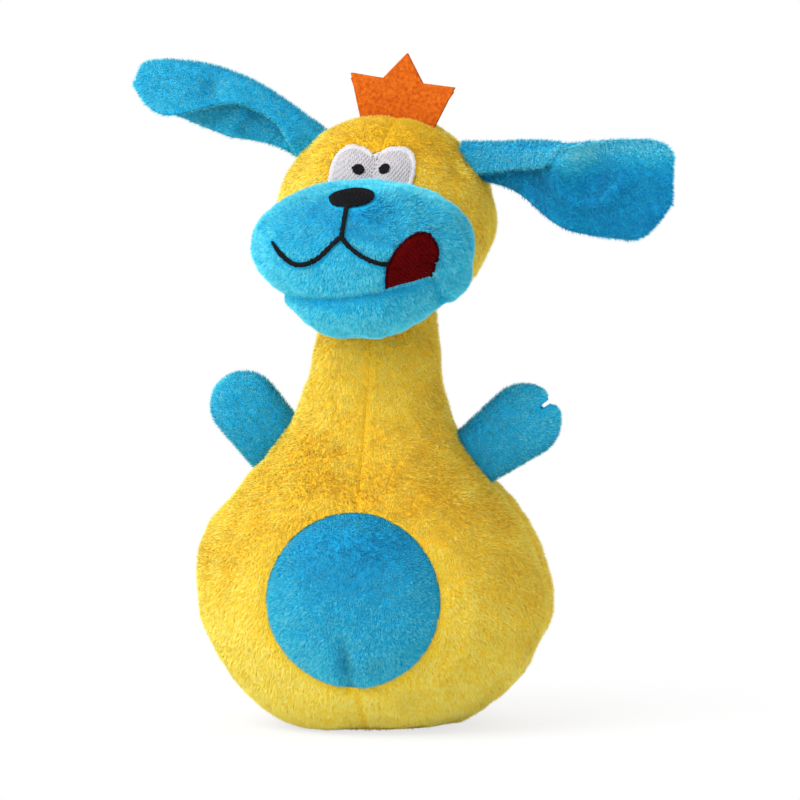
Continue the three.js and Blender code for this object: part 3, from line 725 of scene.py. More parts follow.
def stuffed(bm, held, most, voxel=4.0):
    """A closed cover in millimetres, swollen by its stuffing by no more than the given way."""
    even = remeshed(bm, voxel)
    bmesh.ops.scale(even, vec=(MM, MM, MM), verts=even.verts[:])
    cover = drafted(even)
    mesh = cover.data
    moved = 0
    seams = cover.vertex_groups.new(name="seams")
    seams.add([v.index for v in mesh.vertices if held(v.co / MM)], 1.0, "REPLACE")
    cloth = cover.modifiers.new("stuffing", "CLOTH")
    cloth.settings.vertex_group_mass = "seams"
    cloth.settings.use_pressure = True
    cloth.settings.uniform_pressure_force = PRESSURE
    cloth.settings.mass = COVER_WEIGHT
    for way in ("tension", "compression", "shear"):
        setattr(cloth.settings, f"{way}_stiffness", COVER_STIFFNESS)
    cloth.settings.effector_weights.gravity = 0
    for number in range(1, FILLING_FRAMES + 1):
        bpy.context.scene.frame_set(number)
    swollen = cover.evaluated_get(bpy.context.evaluated_depsgraph_get()).to_mesh()
    moves = mesh_points(swollen)[0] - mesh_points(mesh)[0]
    bpy.context.scene.frame_set(1)
    cover.modifiers.remove(cloth)
    way = np.linalg.norm(moves, axis=1)
    moves *= np.minimum(1, most * MM / np.maximum(way, 1e-9))[:, None]
    moved = (moves * mesh_points(mesh)[1]).sum(axis=1).mean() / MM
    mesh.vertices.foreach_set("co", (mesh_points(mesh)[0] + moves).ravel())
    rounded = cover.modifiers.new("rounded", "SUBSURF")
    rounded.levels = rounded.render_levels = 1
    shape = shape_of(cover)
    skin = bmesh.new()
    skin.from_mesh(shape)
    bmesh.ops.scale(skin, vec=(1 / MM,) * 3, verts=skin.verts[:])
    bpy.data.objects.remove(cover)
    for used in (mesh, shape):
        bpy.data.meshes.remove(used)
    outward(skin)
    print("stuffed cover:", len(skin.faces), "faces, swollen by", round(moved, 2), "mm")
    return skin


print("covers fill at a pressure of", PRESSURE, "over", FILLING_FRAMES, "frames")

# %% [markdown]
# The body's cover is held where it is sewn: along its sides, down the front, round the tummy, at
# the foot and at the neck. Once filled it is cut level at the foot, and inside the head at the top.

# %% The body's cover
BODY_SWELL = 1.3  # the furthest that a point may move
SIDE_GRIP, FRONT_GRIP = 2.5, 2.2  # the cloth is held this far from a seam
FOOT_CUT = 0.7


def on_body_seam(p):
    ring = from_tummy(p)
    front = p.y < 0 and (abs(ring) < SIDE_GRIP or (abs(p.x) < FRONT_GRIP and ring > 0))
    return front or abs(p.y) < SIDE_GRIP or p.z < 2 or p.z > NECK_HEIGHT


def all_over(p):
    return SKIN_DEPTH


body = body_form()
sink(body, all_over)
body = stuffed(body, on_body_seam, BODY_SWELL)
sink(body, body_depth)
body = cut_away(body, ((0, 0, FOOT_CUT), (0, 0, -1)), ((0, 0, NECK_TOP - 2), (0, 0, 1)))
print("body skin:", len(body.faces), "faces")

# %% [markdown]
# The tummy panel is let into a round hole in the two front panels. The hole is cut by one plane for
# each side of a polygon, through the faces near it alone, so the rest of the skin stays regular.

# %% The hole for the tummy
HOLE_SIDES, HOLE_BAND = 48, 5  # planes, and the width of the band of faces that they cut


def cut_hole(bm):
    middle = Vector((TUMMY_SIDE, 0, TUMMY_HEIGHT))

    def polar(face):
        spot = face.calc_center_median() - middle
        return spot, sqrt(spot.x**2 + spot.z**2)

    for i in range(HOLE_SIDES):
        out = Vector((cos(tau * i / HOLE_SIDES), 0, sin(tau * i / HOLE_SIDES)))
        near = [
            f for f in bm.faces
            if f.normal.y < 0 and abs(polar(f)[1] - TUMMY_RADIUS) < HOLE_BAND
            and polar(f)[0].dot(out) > polar(f)[1] * cos(pi * 1.6 / HOLE_SIDES)
        ]
        parts = {e for f in near for e in f.edges} | {v for f in near for v in f.verts}
        bmesh.ops.bisect_plane(
            bm, geom=near + list(parts), dist=1e-4, plane_no=out,
            plane_co=middle + out * TUMMY_RADIUS * cos(pi / HOLE_SIDES),
        )
    gone = [f for f in bm.faces if f.normal.y < 0 and polar(f)[1] < TUMMY_RADIUS - 0.2]
    bmesh.ops.delete(bm, geom=gone, context="FACES")


front = cut_away(body, ((0, 0, 0), (0, 1, 0)))
cut_hole(front)
print("front skin:", len(front.faces), "faces")

# %% [markdown]
# The head's places are measured from the middle of the neck seam, in a frame that tilts and turns
# a little. The pile grows nowhere that another piece covers, so these tests come first.

# %% Places on the head
HEAD_SIZE = np.array((63.6, 58, 59)) / 2
HEAD_MIDDLE = np.array((0, 0, 30.0))
MUZZLE_SIZE = np.array((68.6, 50, 38.2)) / 2
MUZZLE_MIDDLE = np.array((0.8, -30, 24.3))
CHIN_SIZE = np.array((48, 44, 33)) / 2
CHIN_MIDDLE = np.array((-0.6, -28, 12.9))
# The cheeks' lower ends, beside the chin.
CHEEKS = [((19.7, -26, 16), (13, 17, 10.5)), ((-14.4, -27, 11.5), (11, 17, 8.5))]
MUZZLE_ROLL = Matrix.Rotation(radians(-8.5), 3, "Y")  # the muzzle is sewn on level, the head tilts
HEAD_TURNED = Matrix.Rotation(radians(7), 4, "Y") @ Matrix.Rotation(radians(-6), 4, "Z")
HEAD_PLACE = Matrix.Translation((0, 0, NECK_HEIGHT)) @ HEAD_TURNED
HEAD_AXES = np.array(HEAD_TURNED)[:3, :3]


def on_head(points):
    """Points of the toy, as the head measures them."""
    return (points - (0, 0, NECK_HEIGHT)) @ HEAD_AXES


def within(points, middle, size, margin):
    """True for points inside an egg that is smaller by a margin all round."""
    return (((points - middle) / (size - margin)) ** 2).sum(axis=1) < 1


def in_head(points, margin=3.0):
    return within(on_head(points), HEAD_MIDDLE, HEAD_SIZE, margin)


def in_muzzle(points, margin=3.0):
    spots = (on_head(points) - MUZZLE_MIDDLE) @ np.array(MUZZLE_ROLL) + MUZZLE_MIDDLE
    upper = within(spots, MUZZLE_MIDDLE, MUZZLE_SIZE, margin)
    return upper | within(spots, CHIN_MIDDLE, CHIN_SIZE, margin)


print("head turned:", [round(x, 3) for x in HEAD_AXES[0]])

# %% [markdown]
# The filled cover is cut apart along its seams, and each panel gets its pile. The nap runs down and
# a little outwards, and the pile is short along a seam, where the needle has caught it. No pile
# grows inside the head.

# %% Body panels
DOWN = np.array((0, 0, -1.0))
NAP_SPREADING = (0.006, 0.006, 0)  # turn outwards for each millimetre from the middle
FAR = 99  # from any seam
BACK_DENSITY = 10.0  # fewer locks on the wide back


def body_nap(points, facing):
    return DOWN + points * NAP_SPREADING


def body_trim(points):
    x, y, z = upright(points).T
    ring = np.abs(np.hypot(x - TUMMY_SIDE, z - TUMMY_HEIGHT) - TUMMY_RADIUS)
    seam = np.minimum(np.abs(y), np.where(y < 0, np.minimum(np.abs(x), ring), FAR))
    return seam_trim(seam)


halves = {
    "left": cut_away(front, ((0, 0, 0), (-1, 0, 0))),
    "right": cut_away(front, ((0, 0, 0), (1, 0, 0))),
}
body_pieces = [
    plush(
        f"plush_body_front_{side}", leaned(skin), yellow_plush, body_nap, in_head, seed=i,
        shorten_and_shade=body_trim,
    )
    for i, (side, skin) in enumerate(halves.items(), 11)
]
rear = cut_away(body, ((0, 0, 0), (0, -1, 0)))
body_pieces.append(
    plush(
        "plush_body_back", leaned(rear), yellow_plush, body_nap, in_head, per_area=BACK_DENSITY,
        seed=13, shorten_and_shade=body_trim,
    )
)
for piece, node in zip(body_pieces, ("body_front_left", "body_front_right", "body_back")):
    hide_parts(node)
    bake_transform(piece)
front.free()

# %% [markdown]
# The toy sits on a small flat base panel. Its pile is pressed flat by the weight above it.

# %% Base panel
BASE_RADIUS, BASE_RINGS, BASE_HEIGHT = 22, 6, 0.9
BASE_DENSITY, BASE_PILE = 1.2, 0.8
BASE_PARTING = np.array((0, -9, 0))  # the pile lies away from this spot
base = bmesh.new()
bmesh.ops.create_circle(base, cap_ends=True, segments=48, radius=BASE_RADIUS)
bmesh.ops.scale(base, vec=(1, DEPTH_SHARE, 1), verts=base.verts[:])
for _ in range(BASE_RINGS):
    bmesh.ops.inset_region(
        base, faces=[f for f in base.faces if len(f.verts) > 4],
        thickness=BASE_RADIUS / (BASE_RINGS + 1),
    )
bmesh.ops.translate(base, vec=(LEAN(0), 0, BASE_HEIGHT), verts=base.verts[:])
bmesh.ops.reverse_faces(base, faces=[f for f in base.faces if f.normal.z > 0])
base_piece = plush(
    "plush_base", base, yellow_plush, lambda p, n: p - BASE_PARTING, nowhere,
    per_area=BASE_DENSITY, length=BASE_PILE, seed=14,
)
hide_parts("base_panel")
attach(base_piece, "body")

# %% [markdown]
# ## Tummy
# The tummy is one round panel over the squeaker. It swells a little more than the body round it,
# and a short dart at its lower edge takes up the fullness.

# %% Tummy panel
TUMMY_SWELL, RIM_SINK = 1.2, 0.3
TUMMY_RINGS, TUMMY_STEPS = 22, 96
DART_LENGTH, DART_DEPTH, DART_WIDTH, DART_FADE = 19, 2.3, 1.9, 9
DART_SIDE, DART_LEAN = 0.9, 0.06  # how far it starts from the middle, and how it leans
PUCKER_SIDE, PUCKER_RISE, PUCKER_WIDTH = 4.5, 0.8, 3  # fullness on both sides of the dart
TUMMY_LEAN = radians(20)  # pile that stands up looks deeper in colour

body_tree = BVHTree.FromBMesh(body)


def on_front(tree, x, z):
    """Place and normal where a line from the front meets a skin."""
    spot, normal, _, _ = tree.ray_cast(Vector((x, -200, z)), Vector((0, 1, 0)))
    return spot, normal


def tummy_skin():
    radii = np.linspace(0, TUMMY_RADIUS, TUMMY_RINGS)
    bm = spun([(r, 0, 0) for r in radii], (0, 1, 0), TUMMY_STEPS)
    for v in bm.verts:
        x, z = v.co.x, v.co.z
        radius = sqrt(x * x + z * z) / TUMMY_RADIUS
        spot, normal = on_front(body_tree, TUMMY_SIDE + x, TUMMY_HEIGHT + z)
        across = x + DART_SIDE + DART_LEAN * (z + TUMMY_RADIUS)
        share = min(max(DART_LENGTH - TUMMY_RADIUS - z, 0) / DART_FADE, 1) * (1 - 0.75 * radius**12)
        pucker = dip(abs(across) - PUCKER_SIDE, PUCKER_RISE, PUCKER_WIDTH)
        dart = share * (dip(across, DART_DEPTH, DART_WIDTH) - pucker)
        v.co = spot + normal * (TUMMY_SWELL * (1 - radius**6) - RIM_SINK * radius**6 - dart)
    bmesh.ops.recalc_face_normals(bm, faces=bm.faces[:])
    if sum(f.normal.y for f in bm.faces) > 0:
        bmesh.ops.reverse_faces(bm, faces=bm.faces[:])
    return bm


def tummy_nap(points, facing):
    return DOWN + points * (0.03, 0, 0)


def from_middle(points):
    return np.hypot(points[:, 0] - TUMMY_SIDE, points[:, 2] - TUMMY_HEIGHT)


tummy = plush(
    "plush_tummy", tummy_skin(), blue_plush, tummy_nap, nowhere, length=SHORT_PILE,
    lean=TUMMY_LEAN, seed=15, shorten_and_shade=lambda p: seam_trim(from_middle(p) - TUMMY_RADIUS),
)
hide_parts("tummy_panel")
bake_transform(tummy)
spots = mesh_points(tummy.data)[0] / MM
out = from_middle(spots)
rim_y, middle_y = (spots[near, 1].mean() for near in (out > TUMMY_RADIUS - 1, out < 4))
print("tummy rim at", round(rim_y, 1), "mm and middle at", round(middle_y, 1), "mm")

# %% [markdown]
# ## Head
# The head is an egg in two front panels and a back panel. An egg is a ball with its points moved,
# so the mesh starts as a ball whose poles lie at the crown and the neck.

# %% Head form
HEAD_SWELL, HEAD_LUMPS = 1.2, 0.3
HEAD_PEAK, HEAD_WIDENING = 1.6, 1.03  # the stuffing pushes the top up and the sides out


def egg(middle, size, segments=72):
    bm = bmesh.new()
    bmesh.ops.create_uvsphere(bm, u_segments=segments, v_segments=segments // 2, radius=1)
    bmesh.ops.scale(bm, vec=Vector(size), verts=bm.verts[:])
    bmesh.ops.translate(bm, vec=Vector(middle), verts=bm.verts[:])
    return bm


def head_depth(p):
    seams = dip(p.y, *SIDE_SEAM)
    if p.y < 0:
        seams = max(seams, dip(p.x, *FRONT_SEAM))
    return seams + HEAD_LUMPS * sin(p.x / 7 + p.z / 9) * sin(p.z / 6 - p.y / 8)


def on_head_seam(p):
    return abs(p.y) < SIDE_GRIP or (p.y < 0 and abs(p.x) < FRONT_GRIP)


head = egg(HEAD_MIDDLE, HEAD_SIZE)
for v in head.verts:
    v.co.z += HEAD_PEAK * max(0, (v.co.z - HEAD_MIDDLE[2]) / HEAD_SIZE[2]) ** 2
    v.co.x *= HEAD_WIDENING
sink(head, all_over)
head = stuffed(head, on_head_seam, HEAD_SWELL, voxel=3.0)
sink(head, head_depth)
head_tree = BVHTree.FromBMesh(head)
print("head skin:", len(head.faces), "faces")

# %% [markdown]
# ## Muzzle
# The muzzle is sewn from an upper piece with the cheeks and a lower piece, the chin. Both are eggs,
# and two smaller eggs are the cheeks' lower ends beside the chin. Joining them as one voxel mesh
# and smoothing it gives the soft folds between them that stuffing makes.

# %% Muzzle form
MOUTH_RISE, MOUTH_SLOPE = 9.8, radians(13)
MOUTH_BEND = 0.005  # the seam's ends curve up
MOUTH_FACING = Vector((-sin(MOUTH_SLOPE), 0, cos(MOUTH_SLOPE)))
MOUTH_CREASE, CREASE_WIDTH = 1.4, 1.7
CHIN_EDGE, CHIN_SLANT, CHIN_CREASE = 24.5, 0.2, 2.1  # where the seam turns down beside the chin
MOUTH_GRIP, MUZZLE_BACK = 1.6, 14  # held near the mouth's seam, and this far behind the middle
VOXEL, MUZZLE_SMOOTHING = 1.3, 4
MUZZLE_SWELL = 1.2
MUZZLE_TUCK = 5.5  # the muzzle's cloth ends this far inside the head


def over_mouth(x, z):
    """Height over the mouth's seam."""
    return (z - MOUTH_RISE - MOUTH_BEND * x * x) * cos(MOUTH_SLOPE) - x * sin(MOUTH_SLOPE)


def beside_chin(x, z):
    """Distance to the side from the seam that turns down beside the chin."""
    return x - CHIN_EDGE + CHIN_SLANT * over_mouth(x, z)


def straightened(bm, way):
    """Takes the bend out of the mouth's seam (way 1), or puts it back (way -1)."""
    for v in bm.verts:
        v.co.z -= way * MOUTH_BEND * v.co.x**2


def crease_depth(p):
    """How far the muzzle's skin is drawn in along the mouth and down beside the chin."""
    rise = over_mouth(p.x, p.z)
    ends = 1 - 0.6 * min(max(-p.x - 14, 0) / 8, 1)  # shallower under the right cheek
    mouth = dip(rise, MOUTH_CREASE * ends, CREASE_WIDTH) if p.x < CHIN_EDGE + 1 else 0
    inside = p.y < MUZZLE_MIDDLE[1] and rise < 1
    return max(mouth, dip(beside_chin(p.x, p.z), CHIN_CREASE, CREASE_WIDTH) if inside else 0)


def on_muzzle_seam(p):
    return abs(over_mouth(p.x, p.z)) < MOUTH_GRIP or p.y > MUZZLE_MIDDLE[1] + MUZZLE_BACK


muzzle = bmesh.new()
for middle, size in ((MUZZLE_MIDDLE, MUZZLE_SIZE), (CHIN_MIDDLE, CHIN_SIZE), *CHEEKS):
    part = egg(middle, size)
    part_mesh = bpy.data.meshes.new("egg")
    part.to_mesh(part_mesh)
    part.free()
    muzzle.from_mesh(part_mesh)
    bpy.data.meshes.remove(part_mesh)
bmesh.ops.rotate(muzzle, cent=Vector(MUZZLE_MIDDLE), matrix=MUZZLE_ROLL, verts=muzzle.verts[:])
muzzle = remeshed(muzzle, VOXEL)
for _ in range(MUZZLE_SMOOTHING):
    bmesh.ops.smooth_vert(
        muzzle, verts=muzzle.verts[:], factor=0.5, use_axis_x=True, use_axis_y=True, use_axis_z=True
    )
outward(muzzle)
sink(muzzle, all_over)
muzzle = stuffed(muzzle, on_muzzle_seam, MUZZLE_SWELL, voxel=2.5)
sink(muzzle, crease_depth)
inner = [
    f for f in muzzle.faces
    if within(np.array([f.calc_center_median()]), HEAD_MIDDLE, HEAD_SIZE, MUZZLE_TUCK)[0]
]
bmesh.ops.delete(muzzle, geom=inner, context="FACES")
muzzle.normal_update()
muzzle_tree = BVHTree.FromBMesh(muzzle)
print("muzzle skin:", len(muzzle.faces), "faces")

# %% [markdown]
# ## Face
# The face is machine embroidery. Each area is an outline on the head or muzzle that rows of thread
# fill, so the outlines come first: the pile isn't grown where thread lies.

# %% Outlines of the face
FACE_MIDDLE = -1.2
EYES = [((-6.2, 43.2), (6.7, 8.1)), ((4.6, 44.2), (6.9, 8.2))]  # middle and half size
EYE_FULLNESS = 2.7
PUPILS, PUPIL_SIZE = [(-4.6, 45.3), (2.8, 46.5)], (1.75, 1.4)
NOSE_SIZE, NOSE_RISE, NOSE_ROLL = (6.7, 2.3), 39.1, radians(5)
MOUTH_LINE = 1.2
MOUTH = [
    [(-1.3, 37), (-0.6, 28.6)],
    [(-0.6, 28.6), (-3, 26), (-7.8, 20.4), (-12.3, 18.3), (-17.1, 18.8), (-22.6, 23.4)],
    [(-0.6, 28.6), (1.6, 26.3), (6.3, 23.6), (11.2, 22), (14.3, 21.8)],
]
TONGUE = [
    (13.5, 13.6), (14.1, 21.2), (16.0, 27.1), (19.2, 31.1), (22.6, 31.8), (26.4, 28.2), (27.1, 23),
    (26.2, 18.2),
]


def oval(middle, size, steps=64, fullness=2.0, roll=0.0):
    """An outline round a middle: an ellipse at a fullness of 2, and squarer above it."""
    angle = np.linspace(0, tau, steps, endpoint=False)
    x, z = (
        half * np.sign(wave) * np.abs(wave) ** (2 / fullness)
        for half, wave in zip(size, (np.cos(angle), np.sin(angle)))
    )
    return np.stack([x * cos(roll) - z * sin(roll), x * sin(roll) + z * cos(roll)], axis=1) + middle


def onto_egg(points, middle, size):
    """Points moved out to the surface of an egg."""
    away = (points - middle) / size
    return middle + (points - middle) / np.linalg.norm(away, axis=1)[:, None]


def beside(points, outline, margin=0.0):
    """True for points inside an outline in X and Z, or within a margin of it."""
    x, z = points[:, 0], points[:, 2]
    odd = np.zeros(len(points), bool)
    near = np.full(len(points), np.inf)
    for (x0, z0), (x1, z1) in zip(outline, np.roll(outline, -1, axis=0)):
        crosses = (z0 > z) != (z1 > z)
        odd ^= crosses & (x < (x1 - x0) * (z - z0) / (z1 - z0 + 1e-12) + x0)
        run = np.array((x1 - x0, z1 - z0))
        t = np.clip(((x - x0) * run[0] + (z - z0) * run[1]) / (run @ run + 1e-12), 0, 1)
        near = np.minimum(near, np.hypot(x - x0 - t * run[0], z - z0 - t * run[1]))
    return odd | (near < margin)


eyes = [oval(middle, size, fullness=EYE_FULLNESS) for middle, size in EYES]
pupils = [oval(middle, PUPIL_SIZE, 24) for middle in PUPILS]
nose = oval((FACE_MIDDLE, NOSE_RISE), NOSE_SIZE, roll=NOSE_ROLL)
tongue = curve_through(TONGUE, 8)
mouth_lines = [curve_through(points, 10) for points in MOUTH]
print("tongue outline:", len(tongue), "points")

# %% [markdown]
# The head's pile runs down from the crown, and the muzzle's runs away from the nose. Both forms are
# cut into their panels here. The mouth's bend is taken out while a plane cuts along it.

# %% Plush of the head and the muzzle
CROWN_SPOT = np.array((0, 0, 62.0))
THREAD_EDGE = 0.6  # bare margin round the embroidery


def head_nap(points, facing):
    return (on_head(points) - CROWN_SPOT) @ HEAD_AXES.T


def head_bare(points):
    spots = onto_egg(on_head(points), HEAD_MIDDLE, HEAD_SIZE)
    ahead = spots[:, 1] < 0
    thread = ahead & (beside(spots, eyes[0], THREAD_EDGE) | beside(spots, eyes[1], THREAD_EDGE))
    neck = np.linalg.norm(on_head(points), axis=1) < NECK_RADIUS + 0.5
    return in_muzzle(points) | thread | neck


def muzzle_nap(points, facing):
    spots = on_head(points) - (FACE_MIDDLE, -52, NOSE_RISE + 6)
    return (spots + (0, 0, -8)) @ HEAD_AXES.T


def muzzle_bare(points):
    spots = onto_egg(on_head(points), MUZZLE_MIDDLE, MUZZLE_SIZE)
    ahead = spots[:, 1] < MUZZLE_MIDDLE[1]
    thread = beside(spots, nose, THREAD_EDGE) | beside(spots, tongue, THREAD_EDGE)
    for line in mouth_lines:
        thread |= beside(spots, np.concatenate([line, line[::-1]]), MOUTH_LINE / 2 + THREAD_EDGE)
    return in_head(points) | (ahead & thread)


def head_trim(points):
    x, y, _ = np.abs(on_head(points)).T
    return seam_trim(np.where(on_head(points)[:, 1] < 0, np.minimum(x, y), y))


def muzzle_trim(points):
    x, _, z = on_head(points).T
    rise = over_mouth(x, z)
    mouth = np.where(x < CHIN_EDGE, np.abs(rise), FAR)
    return seam_trim(np.minimum(mouth, np.where(rise < 0, np.abs(beside_chin(x, z)), FAR)))


head_cuts = {
    "front_left": (((0, 0, 0), (0, 1, 0)), ((0, 0, 0), (-1, 0, 0))),
    "front_right": (((0, 0, 0), (0, 1, 0)), ((0, 0, 0), (1, 0, 0))),
    "back": (((0, 0, 0), (0, -1, 0)),),
}
straightened(muzzle, 1)
mouth_at = (0, 0, MOUTH_RISE)
muzzle_cuts = {"upper": ((mouth_at, -MOUTH_FACING),), "lower": ((mouth_at, MOUTH_FACING),)}
head_pile = dict(nap=head_nap, bare=head_bare, shorten_and_shade=head_trim)
muzzle_pile = dict(
    nap=muzzle_nap, bare=muzzle_bare, shorten_and_shade=muzzle_trim, length=SHORT_PILE, lean=SHORT_LEAN
)
for group, form, cuts, finish, slot_name, pile in (
    ("head", head, head_cuts, yellow_plush, "plush_yellow", head_pile),
    ("muzzle", muzzle, muzzle_cuts, blue_plush, "plush_blue", muzzle_pile),
):
    for i, (part, planes) in enumerate(cuts.items(), 21):
        skin = cut_away(form, *planes)
        if form is muzzle:
            straightened(skin, -1)
        bmesh.ops.transform(skin, matrix=HEAD_PLACE, verts=skin.verts[:])
        piece = plush(f"plush_{group}_{part}", skin, finish, seed=i, **pile)
        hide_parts(f"{group}_{part}")
        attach(piece, "head")

# %% [markdown]
# A satin stitch is a straight run of thread over the cloth, and rows of them fill an area. A curve
# with a round bevel is thread at once, so each stitch is a short curve that arches over the cloth
# and dives into it at both ends. Long rows are broken into several stitches.

# %% Stitches
THREAD = 0.26  # radius
ROW = 0.36  # spacing of the rows
STITCH_RISE = 1.1  # height of the thread's middle over the backing
UNDERLAY = -0.25  # a first layer of rows lies under the ones that are seen
SHORTEST, STITCH_STEP = 0.8, 1.2  # no row is broken into less; a stitch bends at this spacing
STITCH_RANGE = (0.75, 1.2)  # reach of the stitches over a line, as a share of half its width
STITCH_DIVE = 0.35  # how far a stitch goes down at its ends
LINE_END = 0.4  # share of the width that is left where a line tapers off


def rows_across(outlines, angle, longest):
    """Stitches that fill the area inside outlines, as pairs of ends."""
    run = np.array((cos(angle), sin(angle)))
    step = np.array((-run[1], run[0]))
    levels = [o @ step for o in outlines]
    low, high = min(x.min() for x in levels), max(x.max() for x in levels)
    stitches = []
    for number, level in enumerate(np.arange(low + ROW / 2, high, ROW)):
        spans = []
        for outline in outlines:
            hits = []
            for a, b in zip(outline, np.roll(outline, -1, axis=0)):
                da, db = a @ step - level, b @ step - level
                if (da > 0) != (db > 0):
                    hits.append((a + (b - a) * da / (da - db)) @ run)
            spans += list(zip(sorted(hits)[::2], sorted(hits)[1::2]))
        merged = []
        for start, end in sorted(spans):
            if merged and start <= merged[-1][1]:
                merged[-1][1] = max(end, merged[-1][1])
            else:
                merged.append([start, end])
        for start, end in merged:
            breaks = np.arange(start - (number % 3) * longest / 3, end, longest)[1:]
            stops = [start, *[x for x in breaks if start + SHORTEST < x < end - SHORTEST], end]
            stitches += [
                (run * a + step * level, run * b + step * level) for a, b in zip(stops, stops[1:])
            ]
    return stitches


def stitches_over(line, width, slant=0.25, taper=0.01):
    """Short stitches across a line, side by side along it, shorter over a taper at its end."""
    lengths = np.concatenate([[0], np.cumsum(np.linalg.norm(np.diff(line, axis=0), axis=1))])
    draw = np.random.default_rng(51)

    def along(way):
        return np.array([np.interp(way, lengths, line[:, k]) for k in (0, 1)])

    stitches = []
    for at in np.arange(ROW / 2, lengths[-1], ROW):
        ahead = along(at + 0.2) - along(at - 0.2)
        run = ahead / np.linalg.norm(ahead)
        thin = LINE_END + (1 - LINE_END) * min(1, (lengths[-1] - at) / taper)
        side = (np.array((-run[1], run[0])) + run * slant) * thin * width / 2
        one, other = draw.uniform(*STITCH_RANGE), draw.uniform(*STITCH_RANGE)
        stitches.append((along(at) - side * one, along(at) + side * other))
    return stitches


HEAD_FORM = (head_tree, HEAD_MIDDLE, HEAD_SIZE)
MUZZLE_FORM = (muzzle_tree, MUZZLE_MIDDLE, MUZZLE_SIZE)


def under_thread(form, x, z):
    """Place and normal of the skin under a place on the front of its egg."""
    tree, middle, size = form
    rest = 1 - ((x - middle[0]) / size[0]) ** 2 - ((z - middle[2]) / size[2]) ** 2
    spot, normal, _, _ = tree.find_nearest(Vector((x, middle[1] - size[1] * sqrt(max(rest, 0)), z)))
    return spot, normal


def embroider(name, layers, form, node):
    """A piece of stitches. Each layer is its stitches, its finish and its extra height."""
    whole = bmesh.new()
    for number, (stitches, _, rise) in enumerate(layers):
        line = bpy.data.curves.new(name, "CURVE")
        line.dimensions = "3D"
        line.bevel_depth, line.bevel_resolution, line.use_fill_caps = THREAD, 0, True
        for start, end in stitches:
            steps = max(3, int(np.linalg.norm(end - start) / STITCH_STEP) + 2)
            points = []
            for t in np.linspace(0, 1, steps):
                x, z = start + (end - start) * t
                spot, normal = under_thread(form, x, z)
                arch = min(1, 4 * min(t, 1 - t) * np.linalg.norm(end - start))
                points.append(spot + normal * (STITCH_RISE + rise - STITCH_DIVE * (1 - arch)))
            spline = line.splines.new("POLY")
            spline.points.add(len(points) - 1)
            for place, spot in zip(spline.points, points):
                place.co = (*spot, 1)
        draft = in_scene("stitches", line)
        mesh = draft.to_mesh(depsgraph=bpy.context.evaluated_depsgraph_get())
        before = len(whole.faces)
        whole.from_mesh(mesh)
        whole.faces.ensure_lookup_table()
        for face in whole.faces[before:]:
            face.material_index, face.smooth = number, True
        draft.to_mesh_clear()
        bpy.data.objects.remove(draft)
        bpy.data.curves.remove(line)
    bmesh.ops.transform(whole, matrix=Matrix.Scale(MM, 4) @ HEAD_PLACE, verts=whole.verts[:])
    mesh = bpy.data.meshes.new(name)
    whole.to_mesh(mesh)
    whole.free()
    for _, finish, _ in layers:
        mesh.materials.append(finish)
    piece = in_scene(name, mesh)
    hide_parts(node)
    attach(piece, "head")
    print(name, "stitches:", sum(len(layer[0]) for layer in layers))


# %% [markdown]
# The eyes, the nose and the tongue have a first layer of rows that lifts them and a second across
# it that is seen. The eyes and the tongue also have a rim of short stitches. The smile thins out at
# its free end.

# %% Embroidered face
def rim_of(outline, other, inset):
    """The part of an outline that lies outside another, drawn in a little."""
    middle = outline.mean(axis=0)
    spread = outline - middle
    ring = middle + spread * (1 - inset / np.linalg.norm(spread, axis=1))[:, None]
    flat = np.stack([ring[:, 0], ring[:, 0] * 0, ring[:, 1]], axis=1)
    outside = np.flatnonzero(~beside(flat, other))
    gap = np.flatnonzero(np.diff(outside) > 1)
    order = np.roll(outside, -(gap[0] + 1)) if len(gap) else outside
    return ring[order]


eye_rims = [
    s for a, b in (eyes, eyes[::-1]) for s in stitches_over(rim_of(a, b, 0.5), 1.1, 0.1)
]
eye_layers = [
    (rows_across(eyes, radians(-5), 4), eye_thread, UNDERLAY),
    (rows_across(eyes, radians(84), 2.2), eye_thread, 0.0),
    (eye_rims, rim_thread, 0.2),
]
embroider("stitched_eyes", eye_layers, HEAD_FORM, "eye_patch")
for side, outline in zip(("right", "left"), pupils):
    rows = rows_across([outline], radians(80), 9)
    layers = [(rows, black_thread, 0.45)]
    embroider(f"stitched_pupil_{side}", layers, HEAD_FORM, f"pupil_{side}")
nose_layers = [
    (rows_across([nose], 0, 4), black_thread, UNDERLAY),
    (rows_across([nose], radians(85), 9), black_thread, 0.1),
]
embroider("stitched_nose", nose_layers, MUZZLE_FORM, "nose")
nose_line, smile, tongue_line = mouth_lines
mouth_rows = stitches_over(nose_line, MOUTH_LINE) + stitches_over(tongue_line, MOUTH_LINE)
mouth_rows += stitches_over(smile, MOUTH_LINE, taper=4)
mouth_layers = [(mouth_rows, black_thread, UNDERLAY), (mouth_rows, black_thread, 0.15)]
embroider("stitched_mouth", mouth_layers, MUZZLE_FORM, "mouth_line")
tongue_edge = stitches_over(tongue, 0.7, 0.1)
tongue_layers = [
    (rows_across([tongue], radians(70), 4), red_thread, UNDERLAY),
    (rows_across([tongue], radians(-20), 2.6), red_thread, 0.3),
    (tongue_edge, dark_red_thread, 0.4),
]
embroider("stitched_tongue", tongue_layers, MUZZLE_FORM, "tongue")

# %% [markdown]
# ## Ears
# An ear is two layers of plush, sewn round and turned. It folds over a crest: a section goes up the
# back flap, over the fold and down the front flap, and the front flap opens towards the tip. A grid
# whose points are moved to those sections makes the bag, and its ends meet along the free edges.

# %% A grid bent to a form


